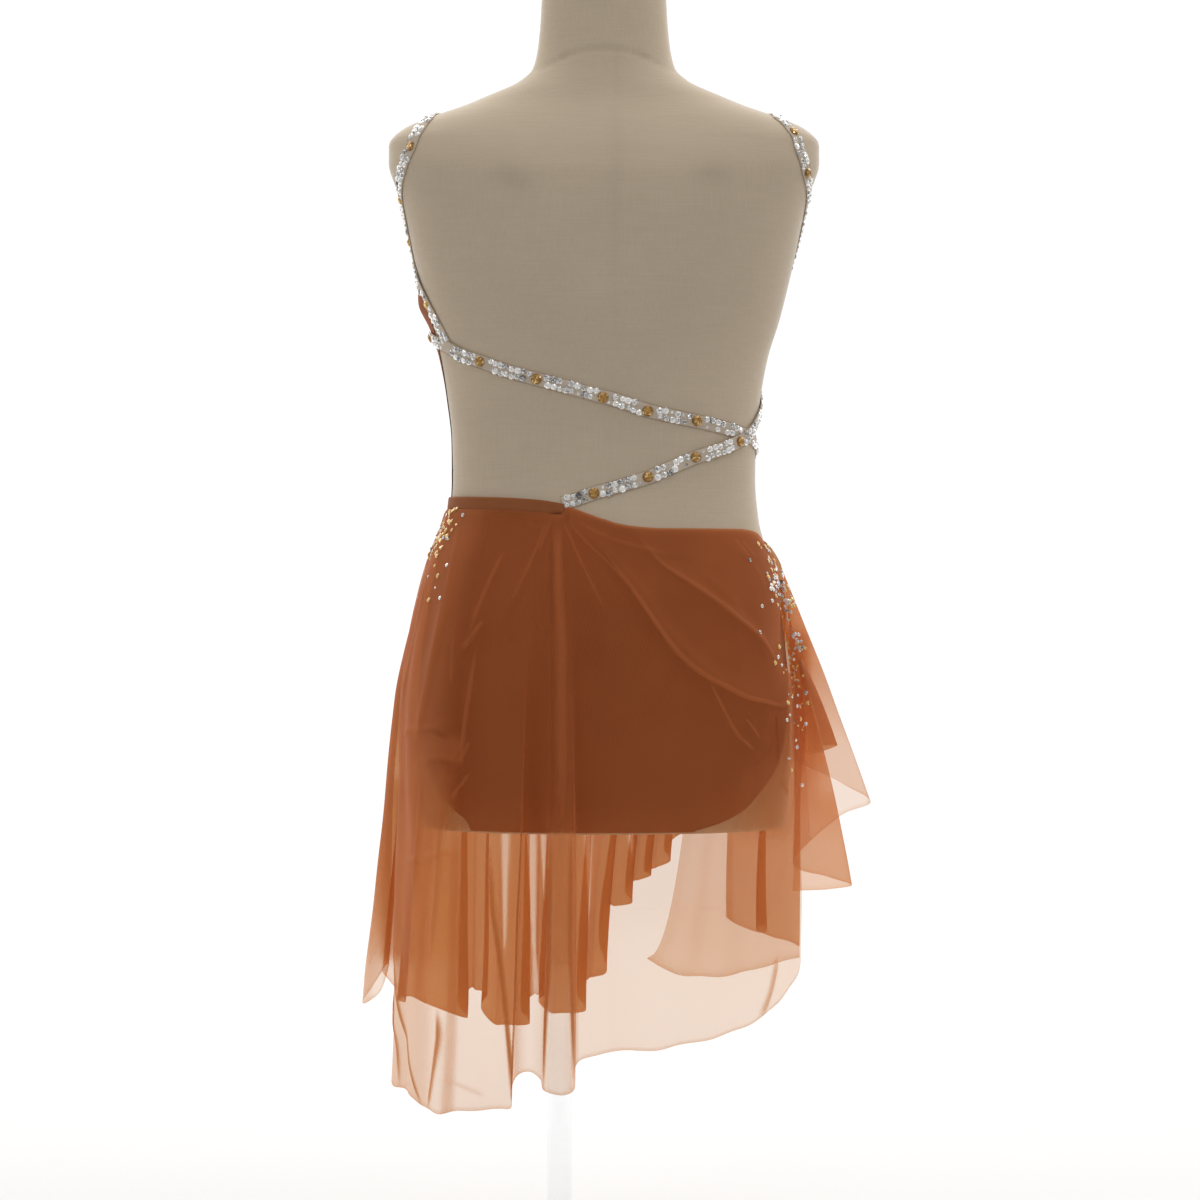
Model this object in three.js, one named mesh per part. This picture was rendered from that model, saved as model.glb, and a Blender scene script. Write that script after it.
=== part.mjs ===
// A backless lyrical dance dress of sheer stretch mesh on a limbless dress form.
// Frame: millimetres, +Z up, the wearer's back faces -Y, the wearer's right side is +X,
// the origin is the middle of the stand's underside, on the floor.
import * as THREE from 'three';

// ---- driving dimensions (mm) ----
const MESH = 1.2;             // wall of the mesh cloth
const BAND = 1.5;             // wall of straps and waistband
const FIRST_LAYER = 2.5;      // clear gap from the form to what lies on it
const OVER_LAYER = 4.9;       // clear gap from the form to what lies on the first layer
const SEAM = 0.3;             // gap between pieces at a seam
const STRAP_WIDTH = 12.5;
const WAISTBAND_HEIGHT = 12.6;
const FORM_BOTTOM = 437;      // underside of the form above the floor
const FORM_TOP = 1206;        // top of the neck
const HIP_LEVEL = 520;        // below this the skirt hangs free
const ROUNDNESS = 2.25;       // exponent of the oval sections
const POST = { x: -40, y: 0, radius: 11 };
const BASE = { radius: 168, height: 16, edge: 4 };
const SKIRT_BACK_TOP = 6.0;   // how far each skirt layer's middle stands off the form at the waist
const SIDE_PANEL_TOP = 5.4;
const FRONT_PANEL_TOP = 7.8;
const SKIRT_FRONT_TOP = 10.4;

// ---- the form: one oval section a row ----
const TORSO = [
  { z: 437, half: 163, back: 108, front: 104 }, { z: 460, half: 165, back: 112, front: 107 },
  { z: 505, half: 167.5, back: 117, front: 108 }, { z: 550, half: 167, back: 119, front: 107 },
  { z: 595, half: 163, back: 116, front: 105 }, { z: 640, half: 156, back: 108, front: 102 },
  { z: 676, half: 148.5, back: 98, front: 97 }, { z: 712, half: 139, back: 88, front: 92 },
  { z: 748, half: 136, back: 82, front: 88 }, { z: 784, half: 136.5, back: 81, front: 88 },
  { z: 820, half: 140.5, back: 84, front: 93 }, { z: 856, half: 147, back: 88, front: 101 },
  { z: 892, half: 158, back: 93, front: 112 }, { z: 928, half: 167, back: 97, front: 122 },
  { z: 955, half: 173, back: 99, front: 124 }, { z: 982, half: 179, back: 100, front: 116 },
  { z: 1010, half: 187, back: 98, front: 102 }, { z: 1032, half: 193.5, back: 91, front: 86 },
  { z: 1048, half: 193.5, back: 83, front: 74 }, { z: 1060, half: 184, back: 76, front: 67 },
  { z: 1070, half: 163, back: 70, front: 63 }, { z: 1081, half: 131, back: 64, front: 61 },
  { z: 1092, half: 104, back: 60, front: 60 }, { z: 1103, half: 79, back: 57, front: 60 },
  { z: 1117, half: 64, back: 54, front: 60 }, { z: 1144, half: 58.5, back: 51, front: 60 },
  { z: 1180, half: 56, back: 49, front: 60 }, { z: 1206, half: 55, back: 48, front: 59 },
];

// ---- small maths ----
function curve(rows, xKey, yKey) {           // smooth curve through a table, without overshoot
  const x = rows.map(r => r[xKey]), y = rows.map(r => r[yKey]), n = x.length;
  const d = [], m = [];
  for (let i = 0; i < n - 1; i++) d.push((y[i + 1] - y[i]) / (x[i + 1] - x[i]));
  for (let i = 0; i < n; i++) {
    if (i === 0) m.push(d[0]);
    else if (i === n - 1) m.push(d[n - 2]);
    else if (d[i - 1] * d[i] <= 0) m.push(0);
    else {
      const h0 = x[i] - x[i - 1], h1 = x[i + 1] - x[i];
      m.push((3 * (h0 + h1)) / ((2 * h1 + h0) / d[i - 1] + (h1 + 2 * h0) / d[i]));
    }
  }
  return v => {
    v = Math.min(Math.max(v, x[0]), x[n - 1]);
    let i = 0;
    while (i < n - 2 && v > x[i + 1]) i++;
    const h = x[i + 1] - x[i], t = (v - x[i]) / h, t2 = t * t, t3 = t2 * t;
    return (2 * t3 - 3 * t2 + 1) * y[i] + (t3 - 2 * t2 + t) * h * m[i]
      + (3 * t2 - 2 * t3) * y[i + 1] + (t3 - t2) * h * m[i + 1];
  };
}
const lerp = (a, b, t) => a + (b - a) * t;
const signedPower = (v, e) => Math.sign(v) * Math.abs(v) ** e;
const halfAt = curve(TORSO, 'z', 'half'), backAt = curve(TORSO, 'z', 'back'), frontAt = curve(TORSO, 'z', 'front');

// a point of the oval section at height z; angle 0 is the middle of the back, 90 the right side
function ring(z, angle, off = 0) {
  const t = THREE.MathUtils.degToRad(angle), s = Math.sin(t), c = Math.cos(t);
  const reach = c > 0 ? backAt(z) : frontAt(z);
  return new THREE.Vector3((halfAt(z) + off) * signedPower(s, 2 / ROUNDNESS),
    -(reach + off) * signedPower(c, 2 / ROUNDNESS), z);
}
function level(p) {                          // 0 on the form, positive outside
  const reach = p.y < 0 ? backAt(p.z) : frontAt(p.z);
  return Math.abs(p.x / halfAt(p.z)) ** ROUNDNESS + Math.abs(p.y / reach) ** ROUNDNESS - 1;
}
function slope(p) {
  const e = 0.05, g = new THREE.Vector3();
  for (const k of ['x', 'y', 'z']) {
    const a = p.clone(), b = p.clone();
    a[k] += e; b[k] -= e;
    g[k] = (level(a) - level(b)) / (2 * e);
  }
  return g;
}
function onForm(p, gap) {                    // the nearest place on the form, moved out by a gap
  const q = p.clone();
  for (let i = 0; i < 8; i++) {
    const g = slope(q);
    q.addScaledVector(g, -level(q) / g.lengthSq());
  }
  return q.addScaledVector(slope(q).normalize(), gap);
}
const lay = (z, angle, gap) => onForm(ring(z, angle), gap);

// angle and offset at hip level of a place in plan
function planToRing(x, y) {
  const a = halfAt(HIP_LEVEL), b = y < 0 ? backAt(HIP_LEVEL) : frontAt(HIP_LEVEL);
  let lo = -60, hi = 400;
  for (let i = 0; i < 50; i++) {
    const off = (lo + hi) / 2;
    if (Math.abs(x / (a + off)) ** ROUNDNESS + Math.abs(y / (b + off)) ** ROUNDNESS > 1) lo = off; else hi = off;
  }
  const off = (lo + hi) / 2;
  const s = signedPower(x / (a + off), ROUNDNESS / 2), c = signedPower(-y / (b + off), ROUNDNESS / 2);
  return { angle: THREE.MathUtils.radToDeg(Math.atan2(s, c)), off };
}
const nearTurn = (angle, to) => angle + 360 * Math.round((to - angle) / 360);

// ---- solids ----
function solid(positions, faces) {
  let volume = 0;
  const p = i => positions[i];
  for (const [a, b, c] of faces) volume += p(a).dot(p(b).clone().cross(p(c)));
  const geometry = new THREE.BufferGeometry();
  geometry.setAttribute('position', new THREE.Float32BufferAttribute(positions.flatMap(v => [v.x, v.y, v.z]), 3));
  geometry.setIndex(faces.flatMap(([a, b, c]) => (volume < 0 ? [a, c, b] : [a, b, c])));
  geometry.computeVertexNormals();
  return geometry;
}
// two matching grids of points, one each side of the cloth, closed round their edges
function wall(under, over) {
  const rows = under.length, cols = under[0].length, n = rows * cols, faces = [];
  const quad = (a, b, c, d) => faces.push([a, b, c], [a, c, d]);
  for (let r = 0; r < rows - 1; r++) for (let c = 0; c < cols - 1; c++) {
    const i = r * cols + c;
    quad(n + i, n + i + 1, n + i + cols + 1, n + i + cols);
    quad(i, i + cols, i + cols + 1, i + 1);
  }
  for (let c = 0; c < cols - 1; c++) {
    const b = (rows - 1) * cols + c;
    quad(c, c + 1, n + c + 1, n + c);
    quad(b, n + b, n + b + 1, b + 1);
  }
  for (let r = 0; r < rows - 1; r++) {
    const i = r * cols, e = i + cols - 1;
    quad(i, n + i, n + i + cols, i + cols);
    quad(e, e + cols, n + e + cols, n + e);
  }
  return solid([...under.flat(), ...over.flat()], faces);
}
// a free sheet given by its middle surface
function sheet(grid, thickness) {
  const rows = grid.length, cols = grid[0].length, under = [], over = [];
  for (let r = 0; r < rows; r++) {
    under.push([]); over.push([]);
    for (let c = 0; c < cols; c++) {
      const along = grid[r][Math.min(c + 1, cols - 1)].clone().sub(grid[r][Math.max(c - 1, 0)]);
      const down = grid[Math.min(r + 1, rows - 1)][c].clone().sub(grid[Math.max(r - 1, 0)][c]);
      const n = along.cross(down).normalize().multiplyScalar(thickness / 2);
      under[r].push(grid[r][c].clone().sub(n));
      over[r].push(grid[r][c].clone().add(n));
    }
  }
  return wall(under, over);
}
// a band on the form, along a table of heights, angles and gaps
function strap(route, steps) {
  const at = route.map((r, i) => ({ ...r, s: i }));
  const z = curve(at, 's', 'z'), angle = curve(at, 's', 'angle'), gap = curve(at, 's', 'gap');
  const centre = s => onForm(ring(z(s), angle(s)), 0);
  const under = [], over = [], last = at.length - 1;
  for (let i = 0; i <= steps; i++) {
    const s = (i / steps) * last, e = 0.05;
    const c = centre(s);
    const along = centre(Math.min(s + e, last)).sub(centre(Math.max(s - e, 0))).normalize();
    const across = slope(c).normalize().cross(along).normalize();
    under.push([]); over.push([]);
    for (const side of [-1, 0, 1]) {
      const p = c.clone().addScaledVector(across, (side * STRAP_WIDTH) / 2);
      under[i].push(onForm(p, gap(s)));
      over[i].push(onForm(p, gap(s) + BAND));
    }
  }
  return wall(under, over);
}
// a skirt layer: each station runs from the waist, over the hip, to its place on the hem
function hang(stations, rows, topOff, ridge = () => 0, cut = () => 0) {
  const grid = [];
  for (let r = 0; r < rows; r++) {
    const v = (r / (rows - 1)) ** 1.15;
    grid.push(stations.map(st => {
      const hem = planToRing(st.x, st.y);
      const hemAngle = nearTurn(hem.angle, st.angle);
      const z = lerp(st.top, st.z, v);
      const free = lerp(st.angle, hemAngle, 1 - (1 - v) ** st.spread), angle = free - cut(free, z);
      const off = lerp(topOff, hem.off, v ** st.swing);
      const p = ring(Math.max(z, HIP_LEVEL), angle, Math.max(off, topOff) + ridge(angle, z));
      p.z = z;
      return p;
    }));
  }
  return grid;
}

// ---- waist line round the body: height of the cut edge ----
const WAIST = [
  { angle: -110, z: 733 }, { angle: -80, z: 732 }, { angle: -38, z: 729.5 }, { angle: -24, z: 727.5 },
  { angle: -13, z: 723.5 }, { angle: -8, z: 719 }, { angle: -1, z: 711.5 }, { angle: 3, z: 707 },
  { angle: 9, z: 704 }, { angle: 18, z: 702.5 }, { angle: 54, z: 702.5 }, { angle: 68, z: 700 },
  { angle: 78, z: 690 }, { angle: 86, z: 686 },
];
const waistAt = curve(WAIST, 'angle', 'z');
const BAND_FROM = -101, BAND_TO = -12;

// ---- back drape: one row a fold or flat of the hem, from the left edge to the right ----
const BACK = [
  { angle: -97, x: -190, y: -4, z: 206, spread: 1.5, swing: 0.4 },
  { angle: -91, x: -187, y: -26, z: 206, spread: 1.5, swing: 0.42 },
  { angle: -84, x: -176, y: -50, z: 206, spread: 1.5, swing: 0.5 },
  { angle: -76, x: -166, y: -80, z: 204, spread: 1.6, swing: 0.6 },
  { angle: -68, x: -157, y: -98, z: 201, spread: 1.8, swing: 0.8 },
  { angle: -60, x: -148, y: -122, z: 199, spread: 2.0, swing: 1.0 },
  { angle: -52, x: -140, y: -128, z: 198, spread: 2.0, swing: 1.2 },
  { angle: -45, x: -128, y: -117, z: 199, spread: 2.0, swing: 1.3 },
  { angle: -38, x: -115, y: -126, z: 202, spread: 2.0, swing: 1.3 },
  { angle: -31, x: -102, y: -141, z: 205, spread: 2.0, swing: 1.4 },
  { angle: -25, x: -89, y: -154, z: 208, spread: 2.0, swing: 1.4 },
  { angle: -21, x: -79, y: -162, z: 211, spread: 2.1, swing: 1.4 },
  { angle: -18, x: -80, y: -145, z: 221, spread: 2.1, swing: 1.4 },
  { angle: -16.2, x: -75, y: -124, z: 231, spread: 2.2, swing: 1.4 },
  { angle: -14.8, x: -64, y: -118, z: 234, spread: 2.2, swing: 1.4 },
  { angle: -13.6, x: -55, y: -132, z: 230, spread: 2.2, swing: 1.4 },
  { angle: -12.6, x: -52, y: -153, z: 224, spread: 2.2, swing: 1.3 },
  { angle: -11.6, x: -43, y: -166, z: 222, spread: 2.2, swing: 1.2 },
  { angle: -10.6, x: -33, y: -167, z: 222, spread: 2.2, swing: 1.2 },
  { angle: -9.4, x: -25, y: -155, z: 226, spread: 2.2, swing: 1.3 },
  { angle: -8.2, x: -25, y: -133, z: 239, spread: 2.2, swing: 1.4 },
  { angle: -6.6, x: -18, y: -118, z: 246, spread: 2.2, swing: 1.4 },
  { angle: -4, x: -3, y: -121, z: 250, spread: 2.2, swing: 1.5 },
  { angle: 0, x: 14, y: -130, z: 253, spread: 2.1, swing: 1.6 },
  { angle: 5, x: 31, y: -135, z: 254, spread: 2.0, swing: 1.6 },
  { angle: 11, x: 47, y: -133, z: 255, spread: 1.9, swing: 1.6 },
  { angle: 18, x: 63, y: -130, z: 258, spread: 1.8, swing: 1.6 },
  { angle: 26, x: 80, y: -128, z: 261, spread: 1.8, swing: 1.6 },
  { angle: 34, x: 97, y: -124, z: 264, spread: 1.7, swing: 1.6 },
  { angle: 42, x: 113, y: -118, z: 269, spread: 1.6, swing: 1.6 },
  { angle: 49, x: 128, y: -108, z: 275, spread: 1.5, swing: 1.6 },
  { angle: 56, x: 142, y: -95, z: 283, spread: 1.5, swing: 1.6 },
  { angle: 62, x: 155, y: -80, z: 291, spread: 1.4, swing: 1.6 },
  { angle: 68, x: 165, y: -62, z: 301, spread: 1.4, swing: 1.5 },
  { angle: 75, x: 172, y: -46, z: 318, spread: 1.3, swing: 1.4 },
  { angle: 81, x: 175, y: -33, z: 345, spread: 1.2, swing: 1.2 },
  { angle: 86, x: 176, y: -24, z: 385, spread: 1.1, swing: 1.2 },
];
const BACK_ROWS = 19;
// the drape's right edge is free from the waist corner to the catch at the hip, and hangs back by this many degrees
const NOTCH = { from: 684, deepest: 592, to: 553, degrees: 21, rightOf: 54 };
function notch(angle, z) {
  if (z >= NOTCH.from || z <= NOTCH.to || angle <= NOTCH.rightOf) return 0;
  const t = z > NOTCH.deepest ? (NOTCH.from - z) / (NOTCH.from - NOTCH.deepest) : (z - NOTCH.to) / (NOTCH.deepest - NOTCH.to);
  return NOTCH.degrees * Math.sin((Math.PI / 2) * t) ** 1.4 * ((angle - NOTCH.rightOf) / (86 - NOTCH.rightOf));
}

// ---- draped folds of the back, from the gather to the right hip: each a ridge along its row of places ----
const COWLS = [
  { height: 5.5, width: 10, path: [
    { angle: -3, z: 708 }, { angle: 9, z: 649 }, { angle: 24, z: 588 }, { angle: 41, z: 562 }, { angle: 67, z: 549 }] },
  { height: 3.5, width: 9, path: [
    { angle: 4, z: 701 }, { angle: 23, z: 666 }, { angle: 45, z: 622 }, { angle: 60, z: 594 }] },
];
const cowlLines = COWLS.map(c => ({ ...c, at: curve(c.path, 'angle', 'z'), from: c.path[0].angle, to: c.path[c.path.length - 1].angle }));
function cowlHeight(angle, z) {
  let h = 0;
  for (const c of cowlLines) {
    const t = (angle - c.from) / (c.to - c.from);
    if (t <= 0 || t >= 1) continue;
    h += c.height * Math.sin(Math.PI * t) ** 0.5 * Math.exp(-(((z - c.at(angle)) / c.width) ** 2));
  }
  return h;
}

// ---- front skirt: one row a pleat, from the left side to the right;
// each shows a face from x1 to x2 and turns in behind it by tuck before the next ----
const FRONT_LEFT_FLARE = [
  { angle: 259, x: -198, y: 14, z: 308 }, { angle: 256.5, x: -211, y: 24, z: 288 },
  { angle: 254, x: -221, y: 42, z: 272 }, { angle: 251.5, x: -217, y: 64, z: 270 },
  { angle: 249, x: -207, y: 82, z: 278 }, { angle: 246.5, x: -201, y: 96, z: 300 },
];
const FRONT_PLEATS = [
  { x1: -206, x2: -184, z1: 296, z2: 268, reach: 76, depth: 14, tuck: 9 },
  { x1: -181, x2: -129, z1: 268, z2: 248, reach: 104, depth: 20, tuck: 10 },
  { x1: -126, x2: -110, z1: 275, z2: 270, reach: 116, depth: 12, tuck: 6 },
  { x1: -104, x2: -70, z1: 240, z2: 240, reach: 120, depth: 24, tuck: 9 },
  { x1: -66, x2: -56, z1: 266, z2: 266, reach: 134, depth: 14, tuck: 6 },
  { x1: -51, x2: -17, z1: 250, z2: 252, reach: 124, depth: 24, tuck: 9 },
  { x1: -14, x2: 3, z1: 282, z2: 290, reach: 126, depth: 20, tuck: 8 },
  { x1: 4, x2: 27, z1: 350, z2: 354, reach: 126, depth: 18, tuck: 7 },
  { x1: 28, x2: 45, z1: 374, z2: 380, reach: 126, depth: 16, tuck: 7 },
  { x1: 46, x2: 63, z1: 386, z2: 394, reach: 124, depth: 16, tuck: 6 },
  { x1: 66, x2: 96, z1: 414, z2: 436, reach: 132, depth: 12, tuck: 6 },
  { x1: 100, x2: 132, z1: 452, z2: 480, reach: 122, depth: 10, tuck: 5 },
  { x1: 138, x2: 160, z1: 500, z2: 530, reach: 104, depth: 6, tuck: 4 },
];
const FRONT_TO = 91, FRONT_ROWS = 9, FLARE_SWING = 1.0;
const FRONT_WAIST = [
  { angle: 86, z: 688 }, { angle: 100, z: 694 }, { angle: 125, z: 708 }, { angle: 160, z: 722 },
  { angle: 200, z: 728 }, { angle: 240, z: 731 }, { angle: 262, z: 733 },
];
const frontWaistAt = curve(FRONT_WAIST, 'angle', 'z');
function frontStations() {
  const list = FRONT_LEFT_FLARE.map(s => ({ ...s, spread: 1.3, swing: FLARE_SWING }));
  const from = FRONT_LEFT_FLARE[FRONT_LEFT_FLARE.length - 1].angle - 2;
  const count = FRONT_PLEATS.length * 4 - 1;
  let k = 0;
  const add = (x, y, z) => list.push({ angle: lerp(from, FRONT_TO, k++ / count), x, y, z, spread: 1.5, swing: 1.1 });
  FRONT_PLEATS.forEach((p, i) => {
    const next = FRONT_PLEATS[i + 1];
    add(p.x1, p.reach + p.depth * 0.35, p.z1);
    add(lerp(p.x1, p.x2, 0.3), p.reach, lerp(p.z1, p.z2, 0.3));
    add(p.x2, p.reach + p.depth * 0.3, p.z2);
    const z = next ? (p.z2 + next.z1) / 2 : p.z2 + 6;
    add(next ? p.x2 - p.tuck : p.x2 + 5, next ? p.reach + p.depth : p.reach - 22, z);
  });
  for (const s of list) s.top = frontWaistAt(s.angle);
  return list;
}

// ---- the two plain panels under the front skirt, right side ----
const FRONT_PANEL = [
  { angle: 148, x: 40, y: 117, z: 303, spread: 0.5 }, { angle: 144, x: 54, y: 120, z: 294, spread: 0.6 },
  { angle: 140, x: 72, y: 116, z: 287, spread: 0.8 }, { angle: 136, x: 92, y: 118, z: 286, spread: 1.0 },
  { angle: 131, x: 112, y: 113, z: 286, spread: 1.3 }, { angle: 123, x: 131, y: 112, z: 291, spread: 1.4 },
  { angle: 114, x: 150, y: 105, z: 296, spread: 1.5 }, { angle: 103, x: 168, y: 97, z: 303, spread: 1.4 },
  { angle: 92, x: 182, y: 84, z: 308, spread: 1.2 },
];
const SIDE_PANEL = [
  { angle: 132, x: 114, y: 96, z: 344 }, { angle: 128, x: 122, y: 100, z: 338 }, { angle: 124, x: 134, y: 96, z: 333 },
  { angle: 120, x: 146, y: 91, z: 330 }, { angle: 116, x: 152, y: 86, z: 334 }, { angle: 113, x: 144, y: 84, z: 338 },
  { angle: 109, x: 142, y: 79, z: 334 }, { angle: 103, x: 156, y: 74, z: 328 }, { angle: 97, x: 170, y: 69, z: 325, spread: 1.3 },
  { angle: 91, x: 180, y: 60, z: 321, spread: 1.0 },
];
const panelStations = table => table.map(s => ({ spread: 1.6, ...s, top: frontWaistAt(s.angle), swing: 1.3 }));

// ---- the cascade at the right hip: one row an inner or outer fold ----
const CASCADE = [
  { topX: 158.5, topY: -24, topZ: 664, x: 178, y: -23, z: 493, bow: 7 },
  { topX: 158.5, topY: -19, topZ: 674, x: 209, y: -38, z: 478, bow: 4 },
  { topX: 158.5, topY: -13, topZ: 682, x: 238, y: -24, z: 460, bow: 2 },
  { topX: 159.5, topY: -8, topZ: 678, x: 211, y: -6, z: 445, bow: 4 },
  { topX: 167, topY: -4, topZ: 632, x: 180, y: 2, z: 402, bow: 5 },
  { topX: 174, topY: 0, topZ: 592, x: 202, y: 10, z: 390, bow: 3 },
  { topX: 175, topY: 3, topZ: 584, x: 225, y: 24, z: 381, bow: 4 },
  { topX: 176, topY: 6, topZ: 577, x: 204, y: 36, z: 376, bow: 3 },
  { topX: 177, topY: 9, topZ: 568, x: 184, y: 42, z: 371, bow: 2 },
];
const CASCADE_SMALL = [
  { topX: 172.5, topY: -31, topZ: 586, x: 180, y: -47, z: 504, bow: 1 },
  { topX: 174, topY: -34, topZ: 588, x: 192, y: -56, z: 507, bow: 2 },
  { topX: 177, topY: -32, topZ: 586, x: 205, y: -51, z: 512, bow: 2 },
  { topX: 176, topY: -28, topZ: 582, x: 193, y: -46, z: 511, bow: 1 },
];
function smoothStations(table, per) {        // more stations between the rows, on smooth curves
  const keys = ['topX', 'topY', 'topZ', 'x', 'y', 'z', 'bow'], out = [];
  const at = table.map((r, i) => ({ ...r, s: i }));
  const c = Object.fromEntries(keys.map(k => [k, curve(at, 's', k)]));
  const count = (table.length - 1) * per;
  for (let i = 0; i <= count; i++) out.push(Object.fromEntries(keys.map(k => [k, c[k](i / per)])));
  return out;
}
function fall(table, per, rows) {            // a hanging frill: straight fall with a little bow outward
  const stations = smoothStations(table, per), grid = [];
  for (let r = 0; r < rows; r++) {
    const v = r / (rows - 1);
    grid.push(stations.map(s => new THREE.Vector3(
      lerp(s.topX, s.x, v) + s.bow * Math.sin(Math.PI * v),
      lerp(s.topY, s.y, v), lerp(s.topZ, s.z, v))));
  }
  return grid;
}

// ---- pieces that lie on the form ----
const FRONT_BODY_NECK = [
  { angle: 88, z: 800 }, { angle: 128, z: 872 }, { angle: 144, z: 968 }, { angle: 160, z: 942 },
  { angle: 180, z: 903 }, { angle: 200, z: 942 }, { angle: 217, z: 970 }, { angle: 246, z: 936 }, { angle: 290, z: 916 },
];
const FRONT_BODY_LEG = [
  { angle: 88, z: 566 }, { angle: 110, z: 520 }, { angle: 140, z: 462 }, { angle: 180, z: 443 },
  { angle: 220, z: 462 }, { angle: 250, z: 520 }, { angle: 275, z: 566 },
];
const FRONT_BODY_SIDES = [
  { z: 440, right: 92, left: 268 }, { z: 560, right: 92, left: 269 }, { z: 640, right: 96, left: 272 },
  { z: 700, right: 103, left: 274 }, { z: 740, right: 113, left: 275 }, { z: 790, right: 123, left: 273 },
  { z: 850, right: 127, left: 279 }, { z: 880, right: 129, left: 284 }, { z: 905, right: 132, left: 280 },
  { z: 925, right: 134, left: 275 }, { z: 975, right: 138, left: 274 },
];
function frontBody(columns, rows) {
  const neck = curve(FRONT_BODY_NECK, 'angle', 'z'), leg = curve(FRONT_BODY_LEG, 'angle', 'z');
  const right = curve(FRONT_BODY_SIDES, 'z', 'right'), left = curve(FRONT_BODY_SIDES, 'z', 'left');
  const under = [], over = [];
  for (let r = 0; r <= rows; r++) {
    under.push([]); over.push([]);
    for (let c = 0; c <= columns; c++) {
      const across = c / columns;
      const z = lerp(leg(lerp(92, 269, across)), neck(lerp(129, 280, across)), r / rows);
      const angle = lerp(right(z), left(z), across);
      under[r].push(lay(z, angle, FIRST_LAYER));
      over[r].push(lay(z, angle, FIRST_LAYER + MESH));
    }
  }
  return wall(under, over);
}
// brief, back: one row a height, left and right cut edges
const BRIEF_BACK = [
  { z: 440, left: -43, right: 26 }, { z: 447, left: -44.5, right: 36 }, { z: 458, left: -51, right: 46 },
  { z: 470, left: -57, right: 52 }, { z: 495, left: -67, right: 64 }, { z: 520, left: -76, right: 71 },
  { z: 551, left: -81, right: 76 }, { z: 590, left: -83, right: 80 }, { z: 640, left: -84, right: 84 },
  { z: 690, left: -84, right: 86 },
];
function briefBack(columns) {
  const under = [], over = [];
  for (const row of BRIEF_BACK) {
    under.push([]); over.push([]);
    for (let c = 0; c <= columns; c++) {
      const angle = lerp(row.left, row.right, c / columns);
      under[under.length - 1].push(lay(row.z, angle, FIRST_LAYER));
      over[over.length - 1].push(lay(row.z, angle, FIRST_LAYER + MESH));
    }
  }
  return wall(under, over);
}
function waistband(columns) {
  const under = [], over = [];
  for (const drop of [0, WAISTBAND_HEIGHT / 2, WAISTBAND_HEIGHT]) {
    under.push([]); over.push([]);
    for (let c = 0; c <= columns; c++) {
      const angle = lerp(BAND_FROM, BAND_TO, c / columns), z = waistAt(angle) - drop;
      under[under.length - 1].push(lay(z, angle, OVER_LAYER));
      over[over.length - 1].push(lay(z, angle, OVER_LAYER + BAND));
    }
  }
  return wall(under, over);
}

// ---- strap routes: one row a place on the form ----
const ON = FIRST_LAYER, LAP = OVER_LAYER;
const STRAP_LEFT = [                         // front neck, over the shoulder, round the armhole, side
  { z: 962, angle: -141, gap: LAP }, { z: 985, angle: -141, gap: ON }, { z: 1010, angle: -139, gap: ON },
  { z: 1036, angle: -134, gap: ON }, { z: 1058, angle: -122, gap: ON }, { z: 1070, angle: -106, gap: ON },
  { z: 1074, angle: -90, gap: ON }, { z: 1070, angle: -72, gap: ON }, { z: 1063, angle: -61, gap: ON },
  { z: 1053, angle: -58, gap: ON }, { z: 1041, angle: -60, gap: ON }, { z: 1025, angle: -66, gap: ON },
  { z: 1009, angle: -76, gap: ON }, { z: 990, angle: -83, gap: ON }, { z: 966, angle: -85.5, gap: ON },
  { z: 944, angle: -86.5, gap: ON }, { z: 925, angle: -82.5, gap: LAP }, { z: 908, angle: -77, gap: LAP },
  { z: 894, angle: -72.5, gap: LAP }, { z: 883, angle: -69, gap: LAP },
];
const STRAP_RIGHT = [                        // front neck, over the shoulder, round the armhole, front
  { z: 962, angle: 141, gap: LAP }, { z: 985, angle: 141, gap: ON }, { z: 1010, angle: 139, gap: ON },
  { z: 1036, angle: 134, gap: ON }, { z: 1058, angle: 122, gap: ON }, { z: 1070, angle: 106, gap: ON },
  { z: 1074, angle: 90, gap: ON }, { z: 1071, angle: 74, gap: ON }, { z: 1065, angle: 63, gap: ON },
  { z: 1054, angle: 60, gap: ON }, { z: 1040, angle: 61.5, gap: ON }, { z: 1023, angle: 67, gap: ON },
  { z: 1008, angle: 77, gap: ON }, { z: 990, angle: 86, gap: ON }, { z: 966, angle: 92, gap: ON },
  { z: 942, angle: 99, gap: ON }, { z: 915, angle: 110, gap: ON }, { z: 890, angle: 122, gap: LAP },
  { z: 876, angle: 131, gap: LAP }, { z: 868, angle: 136, gap: LAP },
];
const STRAP_UPPER = [                        // left side, across the back, round the right waist to the front
  { z: 876, angle: -88, gap: LAP }, { z: 870, angle: -76, gap: LAP }, { z: 863.5, angle: -65, gap: ON },
  { z: 856, angle: -56.5, gap: ON }, { z: 849.5, angle: -46, gap: ON }, { z: 841, angle: -34.5, gap: ON },
  { z: 833, angle: -22, gap: ON }, { z: 825, angle: -10, gap: ON }, { z: 817, angle: 0, gap: ON },
  { z: 805, angle: 14, gap: ON }, { z: 799, angle: 27, gap: ON }, { z: 793, angle: 44, gap: ON },
  { z: 788, angle: 60, gap: ON }, { z: 784, angle: 72, gap: ON }, { z: 777, angle: 88, gap: ON },
  { z: 771, angle: 104, gap: ON }, { z: 767, angle: 118, gap: LAP }, { z: 764, angle: 128, gap: LAP },
  { z: 762, angle: 134, gap: LAP },
];
const CROSS = LAP + 0.2;
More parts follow.
